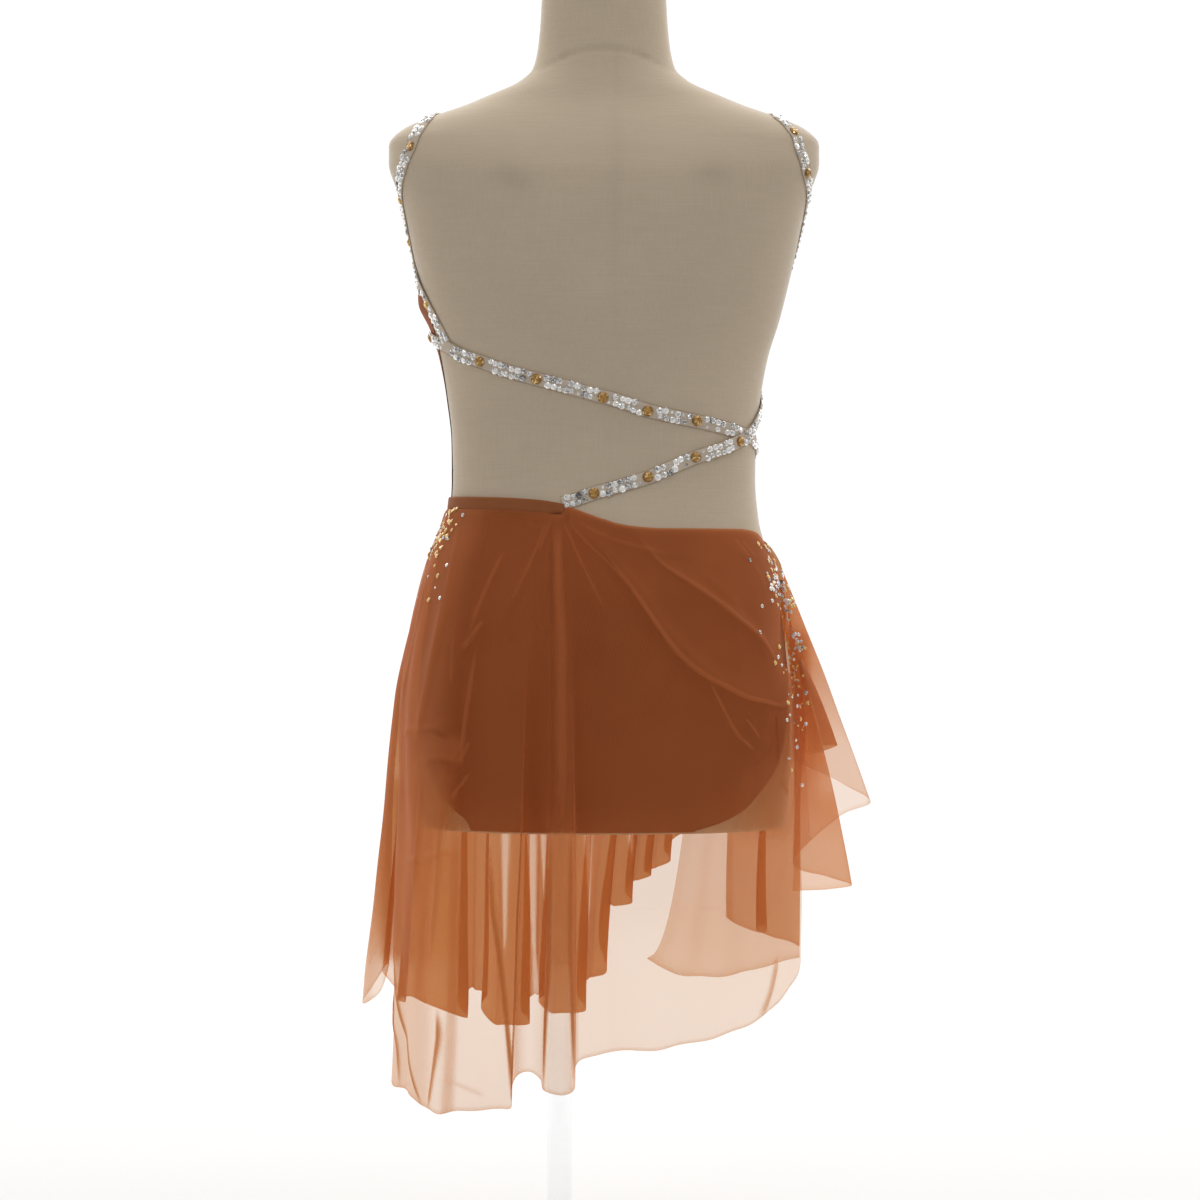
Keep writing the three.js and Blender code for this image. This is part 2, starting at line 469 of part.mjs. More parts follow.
const STRAP_LOWER = [                        // waistband, across the back, round the right waist to the front
  { z: 724, angle: -13, gap: ON }, { z: 728.5, angle: -7, gap: ON }, { z: 733, angle: -2.6, gap: ON },
  { z: 739.5, angle: 4.5, gap: ON }, { z: 747, angle: 14, gap: ON }, { z: 755.5, angle: 22.5, gap: ON },
  { z: 764.5, angle: 33, gap: ON }, { z: 772.5, angle: 46, gap: CROSS }, { z: 781, angle: 60, gap: CROSS },
  { z: 790, angle: 71, gap: CROSS }, { z: 805, angle: 82, gap: CROSS }, { z: 822, angle: 96, gap: ON },
  { z: 836, angle: 112, gap: LAP }, { z: 844, angle: 124, gap: LAP }, { z: 848, angle: 133, gap: LAP },
];

// ---- form, post and base ----
function formTorso(sides) {
  const heights = [], positions = [], faces = [];
  const top = FORM_TOP;
  for (const { z } of TORSO) heights.push(z);
  for (const z of heights) for (let i = 0; i < sides; i++) positions.push(ring(z, (360 * i) / sides));
  const inner = positions.length;            // shallow domed cap on the neck
  for (let i = 0; i < sides; i++) {
    const p = ring(top, (360 * i) / sides);
    positions.push(new THREE.Vector3(p.x * 0.82, p.y * 0.82, top + 6));
  }
  const middleTop = positions.push(new THREE.Vector3(0, 0, top + 8)) - 1;
  const middleBottom = positions.push(new THREE.Vector3(0, 0, FORM_BOTTOM)) - 1;
  const band = (lo, hi) => {
    for (let i = 0; i < sides; i++) {
      const j = (i + 1) % sides;
      faces.push([lo + i, lo + j, hi + j], [lo + i, hi + j, hi + i]);
    }
  };
  for (let k = 0; k < heights.length - 1; k++) band(k * sides, (k + 1) * sides);
  band((heights.length - 1) * sides, inner);
  for (let i = 0; i < sides; i++) {
    const j = (i + 1) % sides;
    faces.push([inner + i, inner + j, middleTop], [j, i, middleBottom]);
  }
  return solid(positions, faces);
}
function turned(profile, sides) {            // a lathe about +Z
  const g = new THREE.LatheGeometry(profile.map(([r, z]) => new THREE.Vector2(r, z)), sides);
  g.rotateX(Math.PI / 2);
  return g;
}

// ---- materials ----
const mat = (color, roughness, metalness = 0, extra = {}) => new THREE.MeshStandardMaterial({ color, roughness, metalness, side: THREE.DoubleSide, ...extra });
const LINEN = mat(0xb9ad9a, 0.92);
const ACRYLIC = mat(0xf2f5f7, 0.15, 0, { transparent: true, opacity: 0.35 });
const SHEER = mat(0xc77a47, 0.75);
const OPAQUE = mat(0x8a4f2a, 0.8);
const CRYSTAL_BAND = mat(0xbdb6b2, 0.3, 0.3);

const part = new THREE.Group();
function add(name, geometry, material, x = 0, y = 0, z = 0) {
  const mesh = new THREE.Mesh(geometry, material);
  mesh.name = name;
  mesh.position.set(x, y, z);
  part.add(mesh);
}

add('form_torso', formTorso(40), LINEN);
add('stand_post', turned([[0, BASE.height + SEAM], [POST.radius, BASE.height + SEAM], [POST.radius, FORM_BOTTOM - SEAM], [0, FORM_BOTTOM - SEAM]], 20), ACRYLIC, POST.x, POST.y);
add('stand_base', turned([[0, 0], [BASE.radius, 0], [BASE.radius, BASE.height - BASE.edge], [BASE.radius - BASE.edge, BASE.height], [0, BASE.height]], 48), ACRYLIC);

add('front_body', frontBody(17, 18), OPAQUE);
add('brief_back', briefBack(18), OPAQUE);
add('waistband', waistband(12), SHEER);
add('strap_left', strap(STRAP_LEFT, 38), CRYSTAL_BAND);
add('strap_right', strap(STRAP_RIGHT, 38), CRYSTAL_BAND);
add('strap_upper', strap(STRAP_UPPER, 34), CRYSTAL_BAND);
add('strap_lower', strap(STRAP_LOWER, 28), CRYSTAL_BAND);

const backStations = BACK.map(s => ({
  ...s, top: waistAt(s.angle) - (s.angle < BAND_TO + 1 ? WAISTBAND_HEIGHT + SEAM : 0),
}));
add('skirt_back', sheet(hang(backStations, BACK_ROWS, SKIRT_BACK_TOP, cowlHeight, notch), MESH), SHEER);
add('skirt_front', sheet(hang(frontStations(), FRONT_ROWS, SKIRT_FRONT_TOP), MESH), SHEER);
add('panel_front', sheet(hang(panelStations(FRONT_PANEL), 9, FRONT_PANEL_TOP), MESH), SHEER);
add('panel_side', sheet(hang(panelStations(SIDE_PANEL), 9, SIDE_PANEL_TOP), MESH), SHEER);
add('cascade', sheet(fall(CASCADE, 2, 7), MESH), SHEER);
add('cascade_small', sheet(fall(CASCADE_SMALL, 2, 5), MESH), SHEER);

export default part;
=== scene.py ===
"""Looks of the lyrical dance dress on its dress form. Lengths in the tables are millimetres."""
import math
import random

import bpy
import numpy as np
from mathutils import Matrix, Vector
from mathutils.bvhtree import BVHTree


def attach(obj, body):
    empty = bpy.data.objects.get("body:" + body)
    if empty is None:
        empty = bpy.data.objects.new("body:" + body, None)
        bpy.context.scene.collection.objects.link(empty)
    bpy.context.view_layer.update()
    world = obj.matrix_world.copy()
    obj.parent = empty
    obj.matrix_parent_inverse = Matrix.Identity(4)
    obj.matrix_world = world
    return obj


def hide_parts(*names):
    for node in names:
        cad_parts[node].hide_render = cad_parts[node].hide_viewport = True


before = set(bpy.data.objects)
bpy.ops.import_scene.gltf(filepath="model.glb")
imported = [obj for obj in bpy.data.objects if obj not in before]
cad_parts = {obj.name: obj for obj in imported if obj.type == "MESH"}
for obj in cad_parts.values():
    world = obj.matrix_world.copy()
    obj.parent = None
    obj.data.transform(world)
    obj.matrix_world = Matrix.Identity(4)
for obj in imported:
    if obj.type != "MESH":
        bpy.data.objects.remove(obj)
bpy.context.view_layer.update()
MM = 0.001
random.seed(11)
RNG = np.random.default_rng(11)

# ------------------------------------------------------------------ sizes
STRAP_WIDTH = 12.5
WAISTBAND_HEIGHT = 12.6
HIP_LEVEL = 520.0
ROUNDNESS = 2.25
FORM_BOTTOM, FORM_TOP = 437.0, 1206.0
POST = dict(x=-40.0, y=0.0, radius=11.0)
BASE = dict(radius=168.0, height=16.0, edge=4.0)
SKIRT_BACK_TOP, SIDE_PANEL_TOP, FRONT_PANEL_TOP, SKIRT_FRONT_TOP = 6.0, 5.4, 7.8, 10.4
SKIN, OVER = 0.8, 2.0          # how far the first and second layers stand off the form
CAMERA = Vector((-3.6, -2600.0, 640.0)) * MM

TORSO = [  # height, half width, reach to the back, reach to the front
    (437, 163, 108, 104), (460, 165, 112, 107), (505, 167.5, 117, 108), (550, 167, 119, 107),
    (595, 163, 116, 105), (640, 156, 108, 102), (676, 148.5, 98, 97), (712, 139, 88, 92),
    (748, 136, 82, 88), (784, 136.5, 81, 88), (820, 140.5, 84, 93), (856, 147, 88, 101),
    (892, 158, 93, 112), (928, 167, 97, 122), (955, 173, 99, 124), (982, 179, 100, 116),
    (1010, 187, 98, 102), (1032, 193.5, 91, 86), (1048, 193.5, 83, 74), (1060, 184, 76, 67),
    (1070, 163, 70, 63), (1081, 131, 64, 61), (1092, 104, 60, 60), (1103, 79, 57, 60),
    (1117, 64, 54, 60), (1144, 58.5, 51, 60), (1180, 56, 49, 60), (1206, 55, 48, 59),
]


# ------------------------------------------------------------------ maths
def curve(xs, ys):
    """A smooth curve through a table without overshoot, for arrays."""
    x, y = np.array(xs, float), np.array(ys, float)
    d = np.diff(y) / np.diff(x)
    m = np.zeros(len(x))
    m[0], m[-1] = d[0], d[-1]
    for i in range(1, len(x) - 1):
        if d[i - 1] * d[i] > 0:
            h0, h1 = x[i] - x[i - 1], x[i + 1] - x[i]
            m[i] = 3 * (h0 + h1) / ((2 * h1 + h0) / d[i - 1] + (h1 + 2 * h0) / d[i])

    def at(v):
        v = np.clip(np.asarray(v, float), x[0], x[-1])
        i = np.clip(np.searchsorted(x, v, side="right") - 1, 0, len(x) - 2)
        h = x[i + 1] - x[i]
        t = (v - x[i]) / h
        return ((2 * t**3 - 3 * t**2 + 1) * y[i] + (t**3 - 2 * t**2 + t) * h * m[i]
                + (3 * t**2 - 2 * t**3) * y[i + 1] + (t**3 - t**2) * h * m[i + 1])
    return at


def round_curve(ys):
    """A rounder curve (Catmull-Rom) through equally spaced values."""
    y = np.array(ys, float)
    pad = np.concatenate([[2 * y[0] - y[1]], y, [2 * y[-1] - y[-2]]])

    def at(v):
        v = np.clip(np.asarray(v, float), 0, len(y) - 1)
        i = np.clip(v.astype(int), 0, len(y) - 2)
        t = v - i
        a, b, c, d = pad[i], pad[i + 1], pad[i + 2], pad[i + 3]
        return 0.5 * (2 * b + (c - a) * t + (2 * a - 5 * b + 4 * c - d) * t**2 + (3 * b - a - 3 * c + d) * t**3)
    return at


half_at, back_at, front_at = (curve([r[0] for r in TORSO], [r[k] for r in TORSO]) for k in (1, 2, 3))


def power(v, e):
    return np.sign(v) * np.abs(v) ** e


def ring(z, angle, off=0.0):
    """Points of the oval section at height z. Angle 0 is the middle of the back, 90 the right side."""
    z, angle, off = np.broadcast_arrays(np.asarray(z, float), np.asarray(angle, float), np.asarray(off, float))
    t = np.radians(angle)
    s, c = np.sin(t), np.cos(t)
    reach = np.where(c > 0, back_at(z), front_at(z)) + off
    return np.stack([(half_at(z) + off) * power(s, 2 / ROUNDNESS), -reach * power(c, 2 / ROUNDNESS), z], -1)


def level(p):
    reach = np.where(p[..., 1] < 0, back_at(p[..., 2]), front_at(p[..., 2]))
    return np.abs(p[..., 0] / half_at(p[..., 2])) ** ROUNDNESS + np.abs(p[..., 1] / reach) ** ROUNDNESS - 1


def slope(p):
    g = np.empty_like(p)
    for k in range(3):
        e = np.zeros(3)
        e[k] = 0.05
        g[..., k] = (level(p + e) - level(p - e)) / 0.1
    return g


def unit(v):
    return v / np.maximum(np.linalg.norm(v, axis=-1, keepdims=True), 1e-9)


def on_form(p, gap):
    q = np.array(p, float)
    for _ in range(8):
        g = slope(q)
        q = q - g * (level(q) / np.maximum((g * g).sum(-1), 1e-12))[..., None]
    return q + unit(slope(q)) * np.asarray(gap, float)[..., None]


def lay(z, angle, gap):
    p = ring(z, angle)
    return on_form(p, np.broadcast_to(gap, p.shape[:-1]))


def plan_to_ring(x, y):
    a = half_at(HIP_LEVEL)
    b = np.where(y < 0, back_at(HIP_LEVEL), front_at(HIP_LEVEL))
    lo, hi = np.full(x.shape, -60.0), np.full(x.shape, 400.0)
    for _ in range(46):
        off = (lo + hi) / 2
        out = np.abs(x / (a + off)) ** ROUNDNESS + np.abs(y / (b + off)) ** ROUNDNESS > 1
        lo, hi = np.where(out, off, lo), np.where(out, hi, off)
    off = (lo + hi) / 2
    angle = np.degrees(np.arctan2(power(x / (a + off), ROUNDNESS / 2), power(-y / (b + off), ROUNDNESS / 2)))
    return angle, off


def near_turn(angle, to):
    return angle + 360 * np.round((to - angle) / 360)


def waves(p, seed, scale, octaves=3):
    """Smooth repeatable unevenness, about -1 to 1, from a few slanted sine waves."""
    r = np.random.default_rng(seed)
    out = np.zeros(p.shape[:-1])
    for o in range(octaves):
        for _ in range(4):
            d = unit(r.normal(size=p.shape[-1])) * (2 * math.pi / scale) * 1.9**o
            out += np.sin(p @ d + r.uniform(0, 6.3)) * 0.55**o
    return out / (4 * sum(0.55**o for o in range(octaves))) * 1.8


def crease_field(points, creases):
    """Height and density of the creases at points of the plane (2.3 * angle, height)."""
    h, dens = np.zeros(points.shape[:-1]), np.zeros(points.shape[:-1])
    for width, height, thick, path in creases:
        a = np.array(path, float) * (2.3, 1.0)
        # a smooth path through the few places
        s = np.linspace(0, len(a) - 1, 8 * (len(a) - 1) + 1)
        a = np.stack([round_curve(a[:, 0])(s), round_curve(a[:, 1])(s)], -1)
        best = np.full(points.shape[:-1], 1e9)
        along = np.zeros(points.shape[:-1])
        for i in range(len(a) - 1):
            d = a[i + 1] - a[i]
            t = np.clip(((points - a[i]) @ d) / (d @ d), 0, 1)
            dist = np.linalg.norm(points - (a[i] + t[..., None] * d), axis=-1)
            near = dist < best
            best, along = np.where(near, dist, best), np.where(near, (i + t) / (len(a) - 1), along)
        fade = np.clip(np.sin(np.pi * np.clip(along, 0.03, 0.97)) * 1.5, 0, 1)
        h += height * fade * np.exp(-(best / width) ** 2)
        dens += thick * fade * np.exp(-(best / (0.62 * width)) ** 2)
    return h, dens


# ------------------------------------------------------------------ materials
def node(nt, kind, x=0, y=0, **props):
    n = nt.nodes.new(kind)
    n.location = (x, y)
    for k, v in props.items():
        setattr(n, k, v)
    return n


def new_material(name):
    m = bpy.data.materials.new(name)
    m.use_nodes = True
    nt = m.node_tree
    nt.nodes.clear()
    return m, nt, node(nt, "ShaderNodeOutputMaterial", 900, 0)


def link(nt, a, out, b, inp):
    nt.links.new(a.outputs[out], b.inputs[inp])


def principled(nt, x=500, y=0, **sockets):
    n = node(nt, "ShaderNodeBsdfPrincipled", x, y)
    for k, v in sockets.items():
        n.inputs[k.replace("_", " ")].default_value = v
    return n


def ramp(nt, stops, x=0, y=0):
    n = node(nt, "ShaderNodeValToRGB", x, y)
    e = n.color_ramp.elements
    e[0].position, e[0].color = stops[0][0], (*stops[0][1], 1)
    e[1].position, e[1].color = stops[-1][0], (*stops[-1][1], 1)
    for p, c in stops[1:-1]:
        k = e.new(p)
        k.color = (*c, 1)
    return n


def math_node(nt, op, a=None, b=None, x=0, y=0):
    n = node(nt, "ShaderNodeMath", x, y, operation=op)
    if a is not None:
        n.inputs[0].default_value = a
    if b is not None:
        n.inputs[1].default_value = b
    return n


def linen_material():
    m, nt, out = new_material("linen_cover")
    tex = node(nt, "ShaderNodeTexCoord", -1400, 0)
    # slubs: long thin unevenness of the warp and of the weft
    slubs = []
    for k, (sx, sy, sz) in enumerate(((1500, 1500, 30), (36, 36, 1600))):
        mp = node(nt, "ShaderNodeMapping", -1200, -260 * k)
        mp.inputs["Scale"].default_value = (sx, sy, sz)
        ns = node(nt, "ShaderNodeTexNoise", -1000, -260 * k)
        ns.inputs["Scale"].default_value = 1.0
        ns.inputs["Detail"].default_value = 3.0
        link(nt, tex, "Object", mp, "Vector")
        link(nt, mp, "Vector", ns, "Vector")
        slubs.append(ns)
    weave = math_node(nt, "ADD", x=-760, y=-60)
    link(nt, slubs[0], "Fac", weave, 0)
    link(nt, slubs[1], "Fac", weave, 1)
    big = node(nt, "ShaderNodeTexNoise", -1000, 300)
    big.inputs["Scale"].default_value = 7.0
    big.inputs["Detail"].default_value = 4.0
    link(nt, tex, "Object", big, "Vector")
    half = math_node(nt, "MULTIPLY", b=0.5, x=-660, y=0)
    link(nt, weave, "Value", half, 0)
    tone = ramp(nt, [(0.25, (0.695, 0.570, 0.420)), (0.5, (0.755, 0.625, 0.470)), (0.75, (0.815, 0.680, 0.520))], -540, 0)
    link(nt, half, "Value", tone, "Fac")
    soft = ramp(nt, [(0.3, (0.925, 0.923, 0.92)), (0.7, (1.0, 1.0, 1.0))], -540, 300)
    link(nt, big, "Fac", soft, "Fac")
    mix = node(nt, "ShaderNodeMix", -260, 100, data_type="RGBA", blend_type="MULTIPLY")
    mix.inputs["Factor"].default_value = 1.0
    link(nt, tone, "Color", mix, "A")
    link(nt, soft, "Color", mix, "B")
    # painted shade: where the attribute is set, the linen is darkened towards a darker brown
    painted_shade = node(nt, "ShaderNodeAttribute", -540, 560, attribute_name="painted_shade")
    mix2 = node(nt, "ShaderNodeMix", -20, 160, data_type="RGBA", blend_type="MIX")
    link(nt, painted_shade, "Fac", mix2, "Factor")
    link(nt, mix, "Result", mix2, "A")
    mix2.inputs["B"].default_value = (0.36, 0.29, 0.21, 1)
    bump = node(nt, "ShaderNodeBump", 200, -260)
    bump.inputs["Strength"].default_value = 0.30
    bump.inputs["Distance"].default_value = 0.0004
    link(nt, weave, "Value", bump, "Height")
    p = principled(nt, 480, 0, Roughness=0.92, Sheen_Weight=0.75, Sheen_Roughness=0.30)
    p.inputs["Specular IOR Level"].default_value = 0.2
    link(nt, mix2, "Result", p, "Base Color")
    link(nt, bump, "Normal", p, "Normal")
    link(nt, p, "BSDF", out, "Surface")
    return m


OPEN = 0.67                    # the share of light that one thickness of the mesh lets through
TINT = (1.0, 0.90, 0.80)       # and how it warms that light


def mesh_material(name, colour, through_colour, glow):
    """Sheer stretch mesh. The attribute "layers" says how many thicknesses lie at a point."""
    m, nt, out = new_material(name)
    tex = node(nt, "ShaderNodeTexCoord", -1700, 0)
    uv = node(nt, "ShaderNodeUVMap", -1700, 300, uv_map="cloth")
    # knitted columns and rows about 1 mm apart
    net = []
    for k, direction in enumerate(("X", "Y")):
        w = node(nt, "ShaderNodeTexWave", -1400, 300 - 240 * k, wave_type="BANDS", bands_direction=direction)
        w.inputs["Scale"].default_value = 320.0
        w.inputs["Distortion"].default_value = 1.2
        w.inputs["Detail"].default_value = 1.0
        link(nt, uv, "UV", w, "Vector")
        net.append(w)
    knit = math_node(nt, "ADD", x=-1180, y=220)
    link(nt, net[0], "Fac", knit, 0)
    link(nt, net[1], "Fac", knit, 1)
    big = node(nt, "ShaderNodeTexNoise", -1400, -260)
    big.inputs["Scale"].default_value = 14.0
    big.inputs["Detail"].default_value = 3.0
    link(nt, tex, "Object", big, "Vector")
    layers = node(nt, "ShaderNodeAttribute", -1180, -60, attribute_name="layers")
    a = math_node(nt, "MULTIPLY", b=0.05, x=-980, y=200)
    link(nt, knit, "Value", a, 0)
    b = math_node(nt, "MULTIPLY_ADD", b=0.16, x=-980, y=-260)
    b.inputs[2].default_value = 0.87
    link(nt, big, "Fac", b, 0)
    c = math_node(nt, "ADD", x=-800, y=80)
    link(nt, a, "Value", c, 0)
    link(nt, b, "Value", c, 1)
    n = math_node(nt, "MULTIPLY", x=-620, y=60)
    link(nt, c, "Value", n, 0)
    link(nt, layers, "Fac", n, 1)
    gone = math_node(nt, "POWER", a=OPEN, x=-440, y=160)
    link(nt, n, "Value", gone, 1)
    cover = math_node(nt, "SUBTRACT", a=1.0, x=-260, y=160)
    link(nt, gone, "Value", cover, 1)
    share = math_node(nt, "DIVIDE", b=6.0, x=-440, y=-20)
    link(nt, n, "Value", share, 0)
    warm = ramp(nt, [(k / 6, tuple(t**k for t in TINT)) for k in range(7)], -260, -40)
    link(nt, share, "Value", warm, "Fac")
    tone = ramp(nt, [(0.25, tuple(v * 0.94 for v in colour)), (0.75, tuple(min(v * 1.05, 0.95) for v in colour))], -560, -320)
    link(nt, big, "Fac", tone, "Fac")
    bump = node(nt, "ShaderNodeBump", -200, -420)
    bump.inputs["Strength"].default_value = 0.15
    bump.inputs["Distance"].default_value = 0.0003
    link(nt, knit, "Value", bump, "Height")
    p = principled(nt, 100, -60, Roughness=0.78, Sheen_Weight=0.10, Sheen_Roughness=0.4)
    p.inputs["Specular IOR Level"].default_value = 0.12
    link(nt, tone, "Color", p, "Base Color")
    link(nt, bump, "Normal", p, "Normal")
    through = node(nt, "ShaderNodeBsdfTranslucent", 100, -460)
    warm_tone = ramp(nt, [(0.25, tuple(v * 0.94 for v in through_colour)), (0.75, tuple(v * 1.05 for v in through_colour))], -560, -620)
    link(nt, big, "Fac", warm_tone, "Fac")
    link(nt, warm_tone, "Color", through, "Color")
    lit = node(nt, "ShaderNodeMixShader", 380, -100)
    lit.inputs[0].default_value = glow
    nt.links.new(p.outputs["BSDF"], lit.inputs[1])
    nt.links.new(through.outputs["BSDF"], lit.inputs[2])
    clear = node(nt, "ShaderNodeBsdfTransparent", 380, 160)
    link(nt, warm, "Color", clear, "Color")
    mix = node(nt, "ShaderNodeMixShader", 640, 0)
    nt.links.new(cover.outputs["Value"], mix.inputs[0])
    nt.links.new(clear.outputs["BSDF"], mix.inputs[1])
    nt.links.new(lit.outputs["Shader"], mix.inputs[2])
    nt.links.new(mix.outputs["Shader"], out.inputs["Surface"])
    return m


def knit_material(name, colour, dark):
    m, nt, out = new_material(name)
    uv = node(nt, "ShaderNodeUVMap", -1200, 200, uv_map="cloth")
    tex = node(nt, "ShaderNodeTexCoord", -1200, -100)
    rib = node(nt, "ShaderNodeTexWave", -960, 200, wave_type="BANDS", bands_direction="X")
    rib.inputs["Scale"].default_value = 300.0
    rib.inputs["Distortion"].default_value = 0.8
    link(nt, uv, "UV", rib, "Vector")
    big = node(nt, "ShaderNodeTexNoise", -960, -100)
    big.inputs["Scale"].default_value = 22.0
    big.inputs["Detail"].default_value = 4.0
    link(nt, tex, "Object", big, "Vector")
    tone = ramp(nt, [(0.3, dark), (0.7, colour)], -640, 0)
    link(nt, big, "Fac", tone, "Fac")
    bump = node(nt, "ShaderNodeBump", -200, -240)
    bump.inputs["Strength"].default_value = 0.3
    bump.inputs["Distance"].default_value = 0.0003
    link(nt, rib, "Fac", bump, "Height")
    p = principled(nt, 200, 0, Roughness=0.7, Sheen_Weight=0.06, Sheen_Roughness=0.4)
    p.inputs["Specular IOR Level"].default_value = 0.15
    link(nt, tone, "Color", p, "Base Color")
    link(nt, bump, "Normal", p, "Normal")
    link(nt, p, "BSDF", out, "Surface")
    return m


def stone_material(name, colours, metallic, rough, painted_sparkle):
    """Foil-backed glass. Its emission, as strong as glint says, is a painted glow: the facets shine by themselves
    though they are no lamp.
    """
    m, nt, out = new_material(name)
    shade = node(nt, "ShaderNodeAttribute", -600, 0, attribute_name="shade")
    tone = ramp(nt, colours, -320, 0)
    link(nt, shade, "Fac", tone, "Fac")
    p = principled(nt, 100, 0, Metallic=metallic, Roughness=rough, Coat_Weight=0.6, Coat_Roughness=0.03, Emission_Strength=painted_sparkle)
    link(nt, tone, "Color", p, "Base Color")
    link(nt, tone, "Color", p, "Emission Color")
    link(nt, p, "BSDF", out, "Surface")
    return m


def acrylic_material():
    """Clear cast acrylic with faint polishing marks."""
    m, nt, out = new_material("clear_acrylic")
    tex = node(nt, "ShaderNodeTexCoord", -1100, 0)
    mp = node(nt, "ShaderNodeMapping", -900, 0)
    mp.inputs["Scale"].default_value = (40, 40, 400)
    ns = node(nt, "ShaderNodeTexNoise", -700, 0)
    ns.inputs["Scale"].default_value = 1.0
    ns.inputs["Detail"].default_value = 4.0
    link(nt, tex, "Object", mp, "Vector")
    link(nt, mp, "Vector", ns, "Vector")
    rough = node(nt, "ShaderNodeMapRange", -440, -100)
    rough.inputs["To Min"].default_value = 0.02
    rough.inputs["To Max"].default_value = 0.09
    link(nt, ns, "Fac", rough, "Value")
    tone = ramp(nt, [(0.3, (0.965, 0.975, 0.98)), (0.7, (0.985, 0.99, 0.995))], -440, 160)
    link(nt, ns, "Fac", tone, "Fac")
    bump = node(nt, "ShaderNodeBump", -200, -300)
    bump.inputs["Strength"].default_value = 0.03
    bump.inputs["Distance"].default_value = 0.0002
    link(nt, ns, "Fac", bump, "Height")
    # light passes straight through it, so that the floor under the disc stays lit
    clear = node(nt, "ShaderNodeBsdfTransparent", 100, 120)
    link(nt, tone, "Color", clear, "Color")
    gloss = node(nt, "ShaderNodeBsdfGlossy", 100, -80)
    gloss.inputs["Color"].default_value = (0.95, 0.96, 0.97, 1.0)
    link(nt, rough, "Result", gloss, "Roughness")
    link(nt, bump, "Normal", gloss, "Normal")
    lw = node(nt, "ShaderNodeLayerWeight", -200, 420)
    lw.inputs["Blend"].default_value = 0.5
    edge = ramp(nt, [(0.0, (0.04, 0.04, 0.04)), (0.5, (0.06, 0.06, 0.06)), (0.8, (0.20, 0.20, 0.20)), (1.0, (0.80, 0.80, 0.80))], 0, 420)
    link(nt, lw, "Facing", edge, "Fac")
    mix = node(nt, "ShaderNodeMixShader", 340, 0)
    nt.links.new(edge.outputs[0], mix.inputs[0])
    nt.links.new(clear.outputs[0], mix.inputs[1])
    nt.links.new(gloss.outputs[0], mix.inputs[2])
    nt.links.new(mix.outputs[0], out.inputs["Surface"])
    return m


FABRIC = (0.62, 0.195, 0.068)
LINEN = linen_material()
MESH = mesh_material("sheer_mesh", FABRIC, (0.90, 0.41, 0.10), 0.20)
MESH_FRILL = mesh_material("sheer_mesh_frill", (0.74, 0.285, 0.12), (0.88, 0.38, 0.13), 0.30)
LINING = knit_material("lining_knit", (0.43, 0.136, 0.048), (0.38, 0.116, 0.041))
NUDE = knit_material("nude_band", (0.80, 0.69, 0.56), (0.72, 0.61, 0.49))
EDGE = knit_material("band_edge", (0.58, 0.47, 0.35), (0.46, 0.36, 0.26))
WAIST_KNIT = knit_material("waist_knit", (0.385, 0.128, 0.044), (0.33, 0.108, 0.037))
# each stone material's last figure is the strength of its painted glow
CRYSTAL = stone_material("crystal", [(0.0, (0.09, 0.088, 0.085)), (0.3, (0.30, 0.295, 0.29)), (0.6, (0.70, 0.69, 0.68)), (1.0, (1.0, 1.0, 0.99))], 0.6, 0.14, 0.17)
AMBER = stone_material("amber_stone", [(0.0, (0.12, 0.05, 0.010)), (0.35, (0.34, 0.17, 0.035)), (0.7, (0.80, 0.50, 0.14)), (1.0, (1.0, 0.84, 0.52))], 0.4, 0.16, 0.20)
ACRYLIC = acrylic_material()


# ------------------------------------------------------------------ meshes
def mesh_object(name, verts, faces, mat, smooth=True, attrs=None, uv=None, body="root", face_attrs=None):
    me = bpy.data.meshes.new(name)
    v = np.asarray(verts, float) * MM
    f = np.asarray(faces, np.int32)
    me.vertices.add(len(v))
    me.vertices.foreach_set("co", v.ravel())
    n, k = f.shape
    me.loops.add(n * k)
    me.loops.foreach_set("vertex_index", f.ravel())
    me.polygons.add(n)
    me.polygons.foreach_set("loop_start", np.arange(0, n * k, k, dtype=np.int32))
    me.update(calc_edges=True)
    me.polygons.foreach_set("use_smooth", np.full(n, smooth))
    for key, values in (attrs or {}).items():
        a = me.attributes.new(key, "FLOAT", "POINT")
        a.data.foreach_set("value", np.asarray(values, np.float32).ravel())
    for key, values in (face_attrs or {}).items():
        a = me.attributes.new(key, "FLOAT", "FACE")
        a.data.foreach_set("value", np.asarray(values, np.float32).ravel())
    if uv is not None:
        layer = me.uv_layers.new(name="cloth")
        layer.data.foreach_set("uv", (np.asarray(uv, float) * MM)[f.ravel()].ravel().astype(np.float32))
    me.materials.append(mat)
    me.validate()
    o = bpy.data.objects.new(name, me)
    bpy.context.collection.objects.link(o)
    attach(o, body)
    return o


def grid_faces(rows, cols, closed=False):
    r, c = np.meshgrid(np.arange(rows - 1), np.arange(cols if closed else cols - 1), indexing="ij")
    a = r * cols + c
    b = r * cols + (c + 1) % cols
    return np.stack([a, b, b + cols, a + cols], -1).reshape(-1, 4)


def grid_object(name, p, mat, layers=None, flip=False, closed=False):
    rows, cols = p.shape[:2]
    f = grid_faces(rows, cols, closed)
    if flip:
        f = f[:, ::-1]
    u, v = cloth_lengths(p)
    uv = np.stack([np.broadcast_to(u.mean(0), u.shape), v], -1).reshape(-1, 2)
    attrs = {} if layers is None else {"layers": layers}
    return mesh_object(name, p.reshape(-1, 3), f, mat, attrs=attrs, uv=uv)


